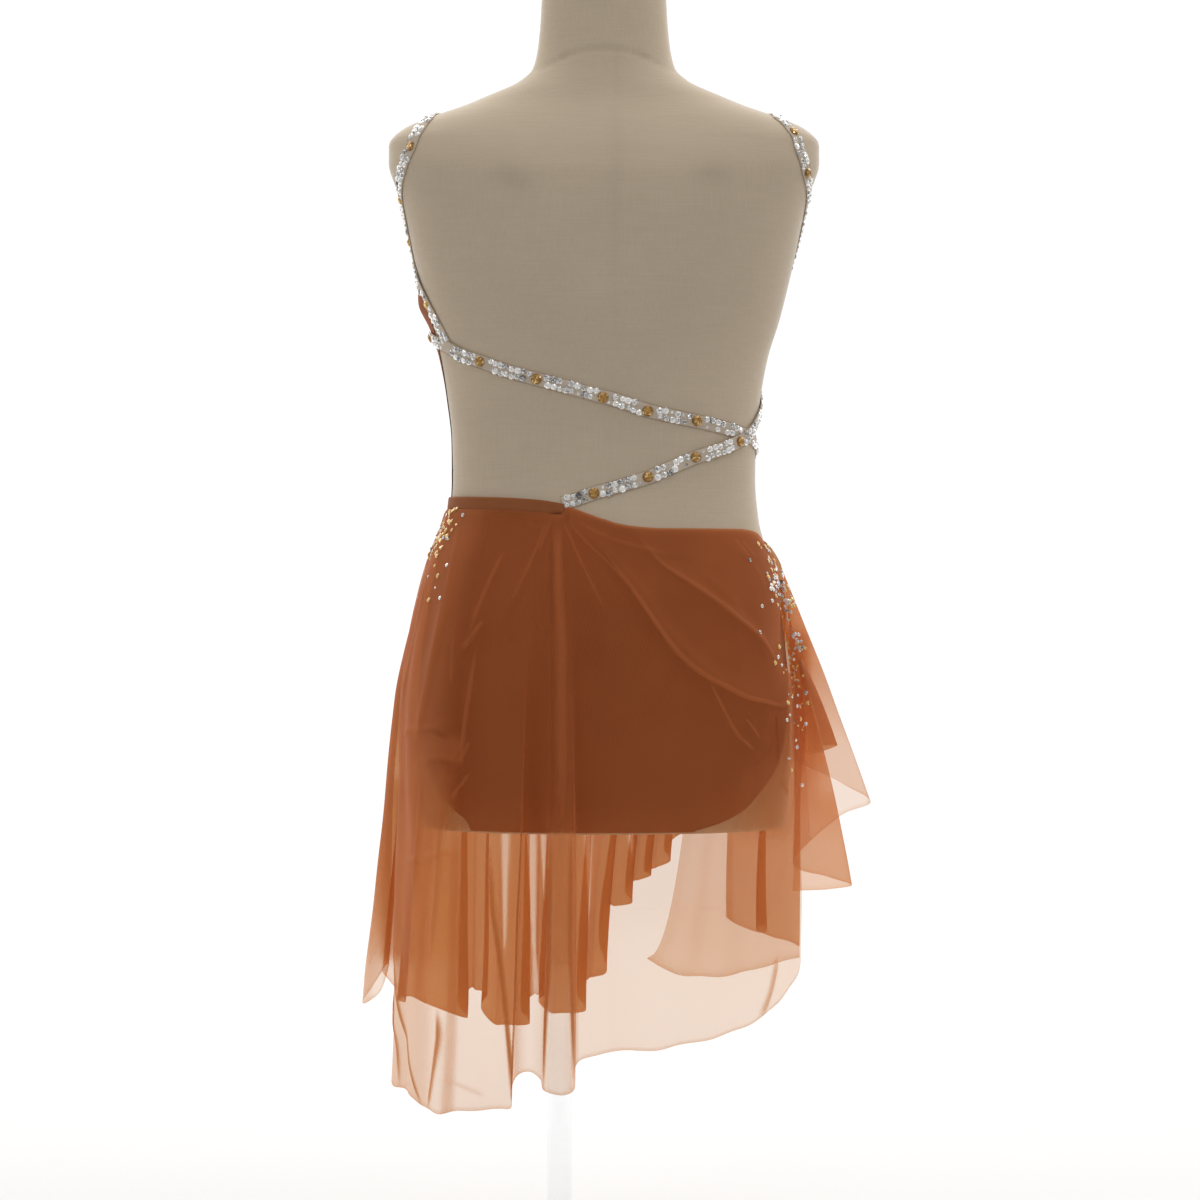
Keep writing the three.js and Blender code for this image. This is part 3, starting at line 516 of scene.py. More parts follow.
def cloth_lengths(p):
    """Length across and down the cloth to each point, in mm."""
    rows, cols = p.shape[:2]
    u = np.concatenate([np.zeros((rows, 1)), np.cumsum(np.linalg.norm(np.diff(p, axis=1), axis=-1), axis=1)], 1)
    v = np.concatenate([np.zeros((1, cols)), np.cumsum(np.linalg.norm(np.diff(p, axis=0), axis=-1), axis=0)], 0)
    return u - u[:, cols // 2: cols // 2 + 1], v


PIXEL = 0.9 / 2600             # one pixel of the view, as a slope


def in_view(p):
    """Where the view shows points given in mm."""
    d = p * MM - np.array(CAMERA)
    return 600 + d[..., 0] / d[..., 1] / PIXEL, 600 - d[..., 2] / d[..., 1] / PIXEL


def flank(p, angle):
    """0 where the cloth lies along the round of the skirt, 1 where a fold turns it outward."""
    t = np.radians(angle)
    tangent = np.stack([np.cos(t), np.sin(t)], -1)
    step = np.gradient(p, axis=1)[..., :2]
    return np.clip(1 - np.abs((unit(step) * tangent).sum(-1)), 0, 1)


def soft_box(x, y, x0, x1, y0, y1, soft):
    f = lambda v, a, b: 1 / (1 + np.exp(-(v - a) / soft)) * 1 / (1 + np.exp((v - b) / soft))
    return f(x, x0, x1) * f(y, y0, y1)


def seen_creases(p, creases, behind=40.0):
    """Height and added layers of folds given by places of the view: each runs over the outermost cloth there."""
    u, v = cloth_lengths(p)
    px, py = in_view(p)
    h, more = np.zeros(u.shape), np.zeros(u.shape)
    for width, height, thick, path in creases:
        places = []
        for x, y in path:
            d = (px - x) ** 2 + (py - y) ** 2 + np.where(p[..., 1] > behind, 1e5, 0) + p[..., 1] * 0.02
            i = np.unravel_index(int(np.argmin(d)), d.shape)
            places.append((u[i], v[i]))
        a = np.array(places)
        s = np.linspace(0, len(a) - 1, 6 * (len(a) - 1) + 1)
        a = np.stack([round_curve(a[:, 0])(s), round_curve(a[:, 1])(s)], -1)
        best, along = np.full(u.shape, 1e9), np.zeros(u.shape)
        for i in range(len(a) - 1):
            e = a[i + 1] - a[i]
            t = np.clip(((u - a[i, 0]) * e[0] + (v - a[i, 1]) * e[1]) / max(e @ e, 1e-9), 0, 1)
            dist = np.hypot(u - a[i, 0] - t * e[0], v - a[i, 1] - t * e[1])
            near = dist < best
            best, along = np.where(near, dist, best), np.where(near, (i + t) / (len(a) - 1), along)
        fade = np.clip(np.sin(np.pi * np.clip(along, 0.02, 0.98)) * 1.7, 0, 1)
        h += height * fade * np.exp(-(best / width) ** 2)
        more += thick * fade * np.exp(-(best / (0.7 * width)) ** 2)
    return h, more


def area_of(o):
    return sum(f.area for f in o.data.polygons)


# ------------------------------------------------------------------ skirts
def fine_stations(table, per, keys):
    s = np.linspace(0, len(table) - 1, per * (len(table) - 1) + 1)
    return s, {k: round_curve([r[k] for r in table])(s) for k in keys}


def hang(st, rows, top_off, sewn_off, cut=None):
    """st: arrays angle, x, y, z, spread, swing, top. Returns height, angle, offset and share of the fall."""
    v = np.linspace(0, 1, rows)[:, None]
    hem_angle, hem_off = plan_to_ring(st["x"], st["y"])
    hem_angle = near_turn(hem_angle, st["angle"])
    z = st["top"] + (st["z"] - st["top"]) * v
    angle = st["angle"] + (hem_angle - st["angle"]) * (1 - (1 - v) ** np.maximum(st["spread"], 0.3))
    if cut is not None:
        angle = angle - cut(angle, z)
    # sewn in close to the form, and standing off it a little lower down
    near = sewn_off + (top_off - sewn_off) * np.clip(v / 0.12, 0, 1) ** 0.8
    off = near + (hem_off - near) * v ** np.maximum(st["swing"], 0.3)
    return z, angle, np.maximum(off, near), np.broadcast_to(v, z.shape)


def hung_points(z, angle, off):
    p = ring(np.maximum(z, HIP_LEVEL), angle, off)
    p[..., 2] = z
    return p


WAIST = [(-110, 733), (-80, 732), (-38, 729.5), (-24, 727.5), (-13, 723.5), (-8, 719), (-1, 711.5), (3, 707),
         (9, 704), (18, 702.5), (54, 702.5), (68, 700), (78, 690), (86, 686)]
waist_at = curve(*zip(*WAIST))
BAND_FROM, BAND_TO = -101, -12

KEYS = ("angle", "x", "y", "z", "spread", "swing")
BACK = [dict(zip(KEYS, r)) for r in [
    (-97, -190, -4, 206, 1.5, 0.4), (-91, -187, -26, 206, 1.5, 0.42), (-84, -176, -50, 206, 1.5, 0.5),
    (-76, -166, -80, 204, 1.6, 0.6), (-68, -157, -98, 201, 1.8, 0.8), (-60, -148, -122, 199, 2.0, 1.0),
    (-52, -140, -128, 198, 2.0, 1.2), (-45, -128, -117, 199, 2.0, 1.3), (-38, -115, -126, 202, 2.0, 1.3),
    (-31, -102, -141, 205, 2.0, 1.4), (-25, -89, -154, 208, 2.0, 1.4), (-21, -79, -162, 211, 2.1, 1.4),
    (-18, -80, -145, 221, 2.1, 1.4), (-16.2, -75, -124, 231, 2.2, 1.4), (-14.8, -64, -118, 234, 2.2, 1.4),
    (-13.6, -55, -132, 230, 2.2, 1.4), (-12.6, -52, -153, 224, 2.2, 1.3), (-11.6, -43, -166, 222, 2.2, 1.2),
    (-10.6, -33, -167, 222, 2.2, 1.2), (-9.4, -25, -155, 226, 2.2, 1.3), (-8.2, -25, -133, 239, 2.2, 1.4),
    (-6.6, -18, -118, 246, 2.2, 1.4), (-4, -3, -121, 250, 2.2, 1.5), (0, 14, -130, 253, 2.1, 1.6),
    (5, 31, -135, 254, 2.0, 1.6), (11, 47, -133, 255, 1.9, 1.6), (18, 63, -130, 258, 1.8, 1.6),
    (26, 80, -128, 261, 1.8, 1.6), (34, 97, -124, 264, 1.7, 1.6), (42, 113, -118, 269, 1.6, 1.6),
    (49, 128, -108, 275, 1.5, 1.6), (56, 142, -95, 283, 1.5, 1.6), (62, 155, -80, 291, 1.4, 1.6),
    (68, 165, -62, 301, 1.4, 1.5), (75, 172, -46, 318, 1.3, 1.4), (81, 175, -33, 345, 1.2, 1.2),
    (86, 176, -24, 385, 1.1, 1.2)]]

# width, height, added density, path of (angle, height): folds and creases of the back drape
BACK_CREASES = [
    (8.0, 5.0, 0.30, [(-3, 706), (6, 657), (14, 621), (22, 595), (30, 575), (44, 560), (67, 549)]),
    (6.0, 3.0, 0.26, [(8, 697), (20, 668.5), (30, 647), (42, 626), (53, 605), (59, 587)]),
    (4.5, 1.6, 0.16, [(28, 672), (37, 649), (44, 634)]),
    (5.0, 2.2, 0.20, [(42, 697), (53, 679), (58, 665), (61, 640)]),
    (5.0, 2.0, 0.15, [(22, 565), (35, 530), (43, 510), (50, 498)]),
    (4.0, 1.4, 0.12, [(40, 541), (47, 520), (51, 506)]),
    (5.0, 2.5, 0.22, [(62, 545), (62, 493), (67, 470)]),
    (9.0, 2.5, 0.14, [(-53, 712), (-50.5, 669), (-52, 636), (-55, 603), (-60, 570), (-64, 522)]),
    (4.0, 2.0, 0.28, [(-36.5, 612), (-38.5, 565), (-40, 527), (-40.8, 514), (-45, 491), (-48, 462)]),
    (3.6, 1.6, 0.24, [(-34.5, 624), (-40, 608), (-45, 592)]),
    (3.6, 1.4, 0.18, [(-48, 616), (-49, 588), (-48, 565)]),
    (3.6, 1.4, 0.18, [(-38, 494), (-42, 487), (-46, 480)]),
    (3.6, 1.2, 0.14, [(-57, 526), (-50, 531), (-43, 535)]),
    (3.4, 1.6, 0.10, [(-12.8, 713), (-12.8, 668), (-12.5, 600), (-12.4, 545)]),
    (4.0, 1.6, 0.12, [(-11.5, 710), (-7, 680), (-3, 647), (0.5, 610)]),
    (4.2, 1.8, 0.14, [(-8.7, 711), (-1.5, 670), (2.3, 647), (9, 617)]),
    (4.0, 1.4, 0.10, [(-13.8, 708), (-16, 666), (-24, 618), (-29, 590)]),
    (5.0, 1.8, 0.12, [(-4, 708), (9.5, 688), (29, 678), (42, 665)]),
    (5.0, 2.0, 0.12, [(-6.4, 712), (1.7, 681), (11.5, 640), (18, 604)]),
    (4.0, 1.4, 0.10, [(-16.7, 714), (-21, 675), (-28, 631), (-33, 586)]),
    (3.2, 0.9, 0.12, [(-46, 716), (-34, 707), (-20, 704), (-13, 708)]),
]


def notch(angle, z):
    """The drape's right edge is free from the waist corner to the catch at the hip, and hangs back."""
    t = np.where(z > 592, (684 - z) / 92, (z - 553) / 39)
    inside = (z < 684) & (z > 553) & (angle > 54)
    return np.where(inside, 21 * np.sin(np.pi / 2 * np.clip(t, 0, 1)) ** 1.4 * (angle - 54) / 32, 0)


# the same, for folds that are placed where the view shows them
BACK_SEEN = [
    # the two long draped folds, and the small ones round them
    (1.9, 1.8, 4.4, [(606, 553), (631, 587.5), (656, 625), (678, 653), (700, 672), (725, 687.5), (747, 697), (769, 703), (788, 704.7)]),
    (1.8, 1.5, 3.9, [(640.6, 537.5), (662.5, 562.5), (694, 584), (719, 603), (737.5, 619), (756, 634), (769, 650), (777, 664)]),
    (1.8, 1.0, 1.1, [(734, 537), (741, 546), (749, 556)]),
    (1.8, 1.0, 1.1, [(742, 540), (749, 549), (758, 560)]),
    (2.2, 1.0, 1.6, [(706, 678), (719, 700), (734, 731), (745, 742), (757, 753)]),
    (1.8, 0.9, 1.4, [(743, 716), (751, 727), (760, 738)]),
    (1.8, 0.9, 0.8, [(752, 716), (757, 727)]),
    (2.0, 1.0, 1.1, [(563, 522), (575, 548), (591, 583), (609, 616)]),
    (2.0, 1.0, 1.0, [(568, 521), (588, 543), (611, 565), (630, 585)]),
    (2.2, 1.0, 0.9, [(574, 519), (600, 534), (636, 546), (676, 555)]),
    (2.4, 0.9, 0.7, [(548, 517), (538, 545), (522, 580), (505, 612)]),
    (1.8, 0.8, 0.8, [(552, 516), (545, 535), (538, 556)]),
    # the upright fold from the gather, light along its crest with more thicknesses, and dark beside it, where a dent of
    # thinner cloth is painted shade
    (5.4, 1.6, 2.1, [(557, 520), (559, 560), (561, 640), (561.5, 740), (561.5, 834)]),
    (1.9, -0.6, -1.2, [(551.5, 528), (552, 600), (552.5, 700), (552.5, 834)]),
    # left side
    (1.9, 1.4, 1.8, [(484, 619), (474, 634), (463, 651)]),
    (2.1, 1.5, 2.0, [(477, 648), (471, 692), (466, 724), (462.5, 764)]),
    (1.8, 1.0, 1.1, [(455, 636), (452, 660), (451, 686)]),
    (1.9, 1.2, 1.6, [(471, 741), (465, 752), (458, 764)]),
    (1.9, 1.2, 1.6, [(470, 773), (460, 786), (451, 801)]),
    (5.0, 1.8, 2.4, [(447, 590), (440, 625), (431, 665), (423, 705), (416, 745)]),
    (3.4, 1.6, 1.8, [(431, 560), (420, 610), (409, 665), (402, 712)]),
    (2.6, 1.2, 1.5, [(459, 520), (452, 560), (446, 600)]),
    (2.4, 1.2, 1.4, [(505, 548), (486, 590), (470, 632)]),
    (4.2, 1.4, 1.6, [(445, 770), (441, 830), (436, 900), (431, 960)]),
    (3.6, 1.4, 1.5, [(421, 780), (417, 840), (412, 900)]),
    (4.0, 1.4, -0.9, [(400, 734), (425, 731), (452, 737)]),
    (3.6, 1.2, -0.9, [(420, 762), (440, 760), (458, 764)]),
    (3.0, 1.0, 0.8, [(406, 861), (430, 857), (456, 850)]),
    # hem folds
    (3.4, 1.2, 5.0, [(384, 926), (387, 945), (391, 972)]),
    (3.0, 1.6, 4.2, [(388.7, 984), (393, 1015), (396, 1042), (398.5, 1086)]),
    (3.4, 1.4, 4.4, [(393, 938), (399.6, 1012), (406, 1042), (413, 1078), (419, 1108)]),
    (4.0, 1.4, 4.0, [(438, 1012), (437.6, 1042), (431, 1086), (426, 1112)]),
    (3.0, 1.2, 6.0, [(489, 850), (494, 905), (498, 945), (503, 985), (507, 1025), (510.4, 1064), (511, 1098)]),
    (4.0, 0.8, 7.5, [(551.7, 834), (549.6, 912), (547.4, 977), (545, 1021), (542.5, 1092)]),
    (3.6, 0.8, 6.6, [(571, 834), (571, 934), (573, 999), (574, 1076)]),
    (5.0, 1.6, 1.8, [(776, 955), (770, 990), (762, 1022)]),
    (3.0, 1.0, 0.4, [(443, 1081), (462, 1088), (486, 1098)]),
    # right strip below the catch
    (2.1, 1.6, 1.6, [(788, 708), (786, 735), (784, 770)]),
    (2.0, 1.4, 1.4, [(781, 772), (783, 783), (790, 795)]),
    (2.4, 1.8, 1.5, [(778, 706), (785, 703), (790, 697), (795, 685)]),
    (2.4, 1.2, 0.9, [(797, 712), (796, 760), (793, 830)]),
    (2.2, 1.0, -0.6, [(776, 712), (778, 740), (779, 770)]),
]


def build_back():
    table = [dict(r) for r in BACK]
    _, st = fine_stations(table, 10, KEYS)
    under_band = 1 / (1 + np.exp(-(BAND_TO - st["angle"]) * 2.0))
    st["top"] = waist_at(st["angle"]) - (WAISTBAND_HEIGHT - 2.5) * under_band
    rows = 265
    z, angle, off, v = hang(st, rows, SKIRT_BACK_TOP, 2.6, notch)
    h, thick = crease_field(np.stack([angle * 2.3, z], -1), BACK_CREASES)
    hold = np.clip(v * 6, 0, 1)
    # pulled out to the catch at the hip
    off = off + 7.0 * np.exp(-((z - 533) / 46) ** 2) * np.clip((angle - 66) / 20, 0, 1) ** 1.5
    p = hung_points(z, angle, off)
    h2, thick2 = seen_creases(p, BACK_SEEN)
    plane = np.stack([angle * 2.3, z * 0.35], -1)
    off = off + (0.5 * h + h2) * hold + 0.8 * waves(plane, 5, 60, 2) * hold
    off = off + 1.4 * waves(np.stack([angle * 2.3, z * 0.2], -1), 7, 46, 2) * np.clip(v * 1.6 - 0.5, 0, 1)
    z = z + (1.3 * waves(np.stack([angle * 2.3, angle * 0], -1), 9, 30, 2) + 0.8) * v**8
    p = hung_points(z, angle, off)
    px, py = in_view(p)
    # the left side is gathered several thicknesses deep, and thins out to its hem
    step = lambda t: 1 / (1 + np.exp(-t))
    left = step(-(angle + 47) / 2.6)
    deep = step((z - 395) / 26)
    gather = np.exp(-((angle + 12) / 14) ** 2) * np.exp(-((720 - z) / 26) ** 2)
    # above the long folds the drape lies on itself
    c1 = np.interp(px, [540, 606, 631, 656, 678, 700, 725, 747, 790], [500, 553, 587, 625, 653, 672, 687, 697, 705])
    c2 = np.interp(px, [600, 640, 662, 694, 719, 737, 756, 778], [500, 537, 562, 584, 603, 619, 634, 664])
    upper = step((c1 - py) / 2.5) + 0.9 * step((c2 - py) / 2.0) * (px > 600)
    on_back = (angle > -10) & (z > 440)
    n = 1.0 + left * (0.7 + 2.3 * deep) + 0.9 * gather + 0.75 * upper * on_back
    n = n + 1.9 * step((angle - 64) / 3) * (z > 440) * step((z - 500) / 12)
    n = n + 0.7 * soft_box(px, py, 735, 785, 762, 836, 4.0) * (angle > 20)
    n = n + 0.6 * soft_box(px, py, 764, 796, 707, 838, 3.0) * (angle > 40)
    n = n + 0.9 * flank(p, angle) ** 1.5 * np.clip(v * 2.4 - 0.2, 0, 1)
    n = n + 0.9 * soft_box(px, py, 552, 571, 830, 965, 2.0) * (angle > -22) * (angle < -5)
    n = n + np.where(angle < -40, 1.4 * soft_box(px, py, 405, 469, 738, 762, 2.5) + 1.2 * soft_box(px, py, 425, 451, 772, 810, 3)
                     - 0.5 * soft_box(px, py, 453, 468, 772, 833, 2.5)
                     + 1.7 * soft_box(px, py, 387, 408, 800, 955, 3.0), 0)
    edge = np.exp(-((1 - v) * rows / 1.3) ** 2)
    top = np.exp(-(v * rows / 2.6) ** 2)
    free = np.exp(-((86 - st["angle"]) / 0.5) ** 2)[None]
    n = np.maximum(n + 1.2 * thick + thick2 + 0.7 * edge + 1.2 * top + 0.9 * free, 0.7)
    return grid_object("skirt_back_drape", p, MESH, layers=n)


FRONT_LEFT_FLARE = [(259, -198, 14, 308), (256.5, -211, 24, 288), (254, -221, 42, 272), (251.5, -217, 64, 270),
                    (249, -207, 82, 278), (246.5, -201, 96, 300)]
FLARE_SWING = 1.0
PLEAT = ("x1", "x2", "z1", "z2", "reach", "depth", "tuck")
FRONT_PLEATS = [dict(zip(PLEAT, r)) for r in [
    (-206, -184, 296, 268, 76, 14, 9), (-181, -129, 268, 248, 104, 20, 10), (-126, -110, 275, 270, 116, 12, 6),
    (-104, -70, 240, 240, 120, 24, 9), (-66, -56, 266, 266, 134, 14, 6), (-51, -17, 250, 252, 124, 24, 9),
    (-14, 3, 282, 290, 126, 20, 8), (4, 27, 350, 354, 126, 18, 7), (28, 45, 374, 380, 126, 16, 7),
    (46, 63, 386, 394, 124, 16, 6), (66, 96, 414, 436, 132, 12, 6), (100, 132, 452, 480, 122, 10, 5),
    (138, 160, 500, 530, 104, 6, 4)]]
FRONT_TO = 91
front_waist_at = curve(*zip(*[(86, 688), (100, 694), (125, 708), (160, 722), (200, 728), (240, 731), (262, 733)]))


def front_stations():
    out = [dict(angle=a, x=x, y=y, z=z, spread=1.3, swing=FLARE_SWING) for a, x, y, z in FRONT_LEFT_FLARE]
    start, count = FRONT_LEFT_FLARE[-1][0] - 2, len(FRONT_PLEATS) * 4 - 1
    k = 0
    for i, p in enumerate(FRONT_PLEATS):
        nxt = FRONT_PLEATS[i + 1] if i + 1 < len(FRONT_PLEATS) else None
        mid = (p["x1"] + 0.3 * (p["x2"] - p["x1"]), p["z1"] + 0.3 * (p["z2"] - p["z1"]))
        for x, y, z in ((p["x1"], p["reach"] + p["depth"] * 0.35, p["z1"]), (mid[0], p["reach"], mid[1]),
                        (p["x2"], p["reach"] + p["depth"] * 0.3, p["z2"]),
                        (p["x2"] - p["tuck"] if nxt else p["x2"] + 5, p["reach"] + p["depth"] if nxt else p["reach"] - 22,
                         (p["z2"] + nxt["z1"]) / 2 if nxt else p["z2"] + 6)):
            out.append(dict(angle=start + (FRONT_TO - start) * k / count, x=x, y=y, z=z, spread=1.5, swing=1.1))
            k += 1
    return out


# where the pleats part: height, place and half width at the top, and the same at the low end
FRONT_PARTINGS = [(838, 505.5, 5.0, 950, 504.5, 1.2), (838, 532.7, 4.8, 950, 534, 2.2), (950, 534, 2.2, 1000, 536.5, 4.5),
                  (838, 543.6, 3.6, 905, 545, 1.0), (838, 588.5, 4.4, 920, 588.7, 0.8), (838, 631.5, 3.4, 860, 632, 1.2)]


def build_front():
    _, st = fine_stations(front_stations(), 8, KEYS)
    st["top"] = front_waist_at(st["angle"])
    rows = 180
    z, angle, off, v = hang(st, rows, SKIRT_FRONT_TOP, 3.6)
    off = off + 1.2 * waves(np.stack([angle * 2.3, z * 0.3], -1), 21, 50, 2) * np.clip(v * 4, 0, 1)
    p = hung_points(z, angle, off)
    edge = np.exp(-((1 - v) * rows / 1.1) ** 2)
    px, py = in_view(p)
    # the flare at the left side is a single thickness at its tip
    flare = 1 / (1 + np.exp(-(angle - 238) / 3))
    n = 4.2 + 0.6 * flank(p, angle) ** 1.3 * np.clip(v * 2.4 - 0.1, 0, 1) + 0.7 * edge
    n = n + flare * (0.6 - 3.9 * np.clip((v - 0.45) / 0.5, 0, 1))
    n = n + 0.35 * waves(np.stack([angle * 2.3, z * 0.04], -1), 23, 34, 2)
    n = n + 0.7 * soft_box(px, py - 0.22 * (430 - px), 404, 458, 858, 960, 2.0)
    n = n + 2.6 * soft_box(px, py, 384, 412, 780, 958, 3.0) * (angle > 200)
    n = np.maximum(n, 0.9)
    # the pleats part in narrow wedges under the form
    for y0, x0, w0, y1, x1, w1 in FRONT_PARTINGS:
        t = (py - y0) / (y1 - y0)
        w = w0 + (w1 - w0) * np.clip(t, 0, 1)
        part = np.exp(-((px - x0 - (x1 - x0) * t) / w) ** 4) / (1 + np.exp((py - y1) / 3.0))
        n = n * (1 - part) + 1.2 * part
    return grid_object("skirt_front_pleated", p, MESH, layers=n)


FRONT_PANEL = [dict(zip(("angle", "x", "y", "z", "spread"), r), swing=1.3) for r in [
    (148, 40, 117, 303, 0.5), (144, 54, 120, 294, 0.6), (140, 72, 116, 287, 0.8), (136, 92, 118, 286, 1.0),
    (131, 112, 113, 286, 1.3), (123, 131, 112, 291, 1.4), (114, 150, 105, 296, 1.5), (103, 168, 97, 303, 1.4),
    (92, 182, 84, 308, 1.2)]]
SIDE_PANEL = [dict(zip(("angle", "x", "y", "z", "spread"), r), swing=1.3) for r in [
    (132, 114, 96, 344, 1.6), (128, 122, 100, 338, 1.6), (124, 134, 96, 333, 1.6), (120, 146, 91, 330, 1.6),
    (116, 152, 86, 334, 1.6), (113, 144, 84, 338, 1.6), (109, 142, 79, 334, 1.6), (103, 156, 74, 328, 1.6),
    (97, 170, 69, 325, 1.3), (91, 180, 60, 321, 1.0)]]


def build_panel(name, table, top_off, sewn_off, seed, base):
    _, st = fine_stations(table, 12, KEYS)
    st["top"] = front_waist_at(st["angle"])
    rows = 110
    z, angle, off, v = hang(st, rows, top_off, sewn_off)
    off = off + 0.8 * waves(np.stack([angle * 2.3, z * 0.3], -1), seed, 60, 2) * np.clip(v * 4, 0, 1)
    p = hung_points(z, angle, off)
    edge = np.exp(-((1 - v) * rows / 0.9) ** 2)
    n = base + 1.2 * flank(p, angle) ** 1.3 * np.clip(v * 2.4 - 0.1, 0, 1) + 0.6 * edge
    return grid_object(name, p, MESH, layers=n)


FALL = ("topX", "topY", "topZ", "x", "y", "z", "bow")
CASCADE = [dict(zip(FALL, r)) for r in [
    (152.0, -12, 654, 166, -12, 497, 5), (158.5, -24, 658, 178, -23, 493, 7), (158.5, -19, 664, 209, -38, 478, 4), (158.5, -13, 670, 238, -24, 460, 2),
    (159.5, -8, 667, 211, -6, 445, 4), (166, -4, 632, 171, 2, 404, 2), (174, 0, 592, 202, 10, 390, 3),
    (175, 3, 584, 225, 24, 381, 4), (176, 6, 577, 204, 36, 376, 3), (177, 9, 568, 171, 42, 374, 2)]]
CASCADE_SMALL = [dict(zip(FALL, r)) for r in [
    (172.5, -31, 586, 180, -47, 504, 1), (174, -34, 588, 192, -56, 507, 2), (177, -32, 586, 205, -51, 512, 2),
    (176, -28, 582, 193, -46, 511, 1)]]


def build_fall(name, table, per, rows, mat, seed, base, most):
    s, st = fine_stations(table, per, FALL)
    v = np.linspace(0, 1, rows)[:, None]
    a = np.stack([st["topX"], st["topY"], st["topZ"]], -1)[None]
    b = np.stack([st["x"], st["y"], st["z"]], -1)[None]
    p = a + (b - a) * v[..., None]
    p[..., 0] += st["bow"] * np.sin(np.pi * v)
    p[..., 0] += 1.0 * waves(p * (1, 1, 0.4), seed, 45, 2) * v
    p[..., 1] += 1.6 * waves(p * (1, 1, 0.4), seed + 1, 55, 2) * v
    # its inner edge lies on the form and the brief, never in them
    z = p[..., 2]
    reach = np.where(p[..., 1] < 0, back_at(z), front_at(z)) + SKIN + 1.2
    room = np.clip(1 - (np.abs(p[..., 1]) / reach) ** ROUNDNESS, 0, 1) ** (1 / ROUNDNESS)
    p[..., 0] = np.where(z > FORM_BOTTOM - 4, np.maximum(p[..., 0], (half_at(z) + SKIN + 1.2) * room), p[..., 0])
    # the outer folds turn the cloth edge-on, and it is gathered close at the top
    tip = np.abs(np.gradient(st["x"]))
    turn = np.exp(-(tip / (0.22 * tip.max())) ** 2)
    edge = np.exp(-((1 - v) * rows / 1.0) ** 2)
    n = base + (most - base) * np.clip(1 - v * 1.25, 0, 1) ** 1.2 + 0.8 * turn[None] * v + 0.6 * edge
    # the second fall hangs over a seam allowance
    n = n + np.where(s > 4.5, 0.45, -0.25)[None] * (len(table) > 6)
    # bunched behind the catch at the hip; the extra thicknesses there are partly real bunching and partly painted shade
    # inside the ruffle
    px, py = in_view(p)
    n = n + 3.4 * soft_box(px, py, 782, 806, 634, 697, 2.5)
    n = n - 0.9 * soft_box(px, py, 817, 842, 750, 796, 5.0)
    return grid_object(name, p, mat, layers=np.maximum(n, 0.8))


# ------------------------------------------------------------------ pieces on the form
FRONT_NECK = curve(*zip(*[(88, 800), (128, 872), (144, 968), (160, 942), (180, 903), (200, 942), (217, 970), (246, 936), (290, 916)]))
FRONT_LEG = curve(*zip(*[(88, 566), (110, 520), (140, 462), (180, 443), (220, 462), (250, 520), (275, 566)]))
SIDES = [(440, 92, 268), (560, 92, 269), (640, 96, 272), (700, 103, 274), (740, 113, 275), (790, 123, 273),
         (858, 127, 279), (890, 129, 284), (914, 132, 280.5), (933, 134, 275), (975, 138, 274)]


def build_front_body():
    right, left = curve([r[0] for r in SIDES], [r[1] for r in SIDES]), curve([r[0] for r in SIDES], [r[2] for r in SIDES])
    c, r = np.linspace(0, 1, 110)[None, :], np.linspace(0, 1, 150)[:, None]
    leg, neck = FRONT_LEG(92 + 177 * c), FRONT_NECK(129 + 151 * c)
    z = leg + (neck - leg) * r
    angle = right(z) + (left(z) - right(z)) * c
    gap = SKIN + 0.2 * waves(np.stack([angle * 2.3, z], -1), 31, 90, 2)
    # the cloth stands off a little under the left arm, where the straps pull it
    gap = gap + 4.5 * np.exp(-((z - 905) / 14) ** 2) * np.exp(-((angle - 272) / 8) ** 2)
    return grid_object("front_body_panel", lay(z, angle, gap), LINING, flip=True)


BRIEF = [(440, -43, 26), (447, -44.5, 36), (458, -51, 46), (470, -57, 52), (495, -67, 64), (520, -76, 71), (551, -81, 76),
         (590, -83, 80), (640, -84, 84), (690, -84, 86), (730, -84, 86)]


def build_brief():
    left, right = curve([b[0] for b in BRIEF], [b[1] for b in BRIEF]), curve([b[0] for b in BRIEF], [b[2] for b in BRIEF])
    c, r = np.linspace(0, 1, 120)[None, :], (np.linspace(0, 1, 110) ** 1.6)[:, None]
    z0 = 439.0 + 0 * c
    top = waist_at(left(700) + (right(700) - left(700)) * c) - 1.8
    z = z0 + (top - z0) * r
    angle = left(z) + (right(z) - left(z)) * c
    gap = SKIN + 0.3 * waves(np.stack([angle * 2.3, z], -1), 33, 80, 2)
    return grid_object("brief_back_panel", lay(z, angle, gap), LINING, flip=True)


def thick_grid(name, under, over, mat, closed_ends=True):
    """A closed band from two matching grids, with its rim rounded a little."""
    rows, cols = under.shape[:2]
    n = rows * cols
    f = [grid_faces(rows, cols)[:, ::-1], grid_faces(rows, cols) + n]
    top = np.arange(cols - 1)
    bot = (rows - 1) * cols + np.arange(cols - 1)
    f.append(np.stack([top, top + 1, n + top + 1, n + top], -1))
    f.append(np.stack([bot + 1, bot, n + bot, n + bot + 1], -1))
    lef = np.arange(rows - 1) * cols
    rig = lef + cols - 1
    f.append(np.stack([lef + cols, lef, n + lef, n + lef + cols], -1))
    f.append(np.stack([rig, rig + cols, n + rig + cols, n + rig], -1))
    v = np.concatenate([under.reshape(-1, 3), over.reshape(-1, 3)])
    u = np.concatenate([[0], np.cumsum(np.linalg.norm(np.diff(under[:, cols // 2], axis=0), axis=-1))])
    w = np.concatenate([[0], np.cumsum(np.linalg.norm(np.diff(under[0], axis=0), axis=-1))])
    uv = np.stack(np.meshgrid(u, w, indexing="ij"), -1).reshape(-1, 2)
    return mesh_object(name, v, np.concatenate(f), mat, uv=np.concatenate([uv, uv]))


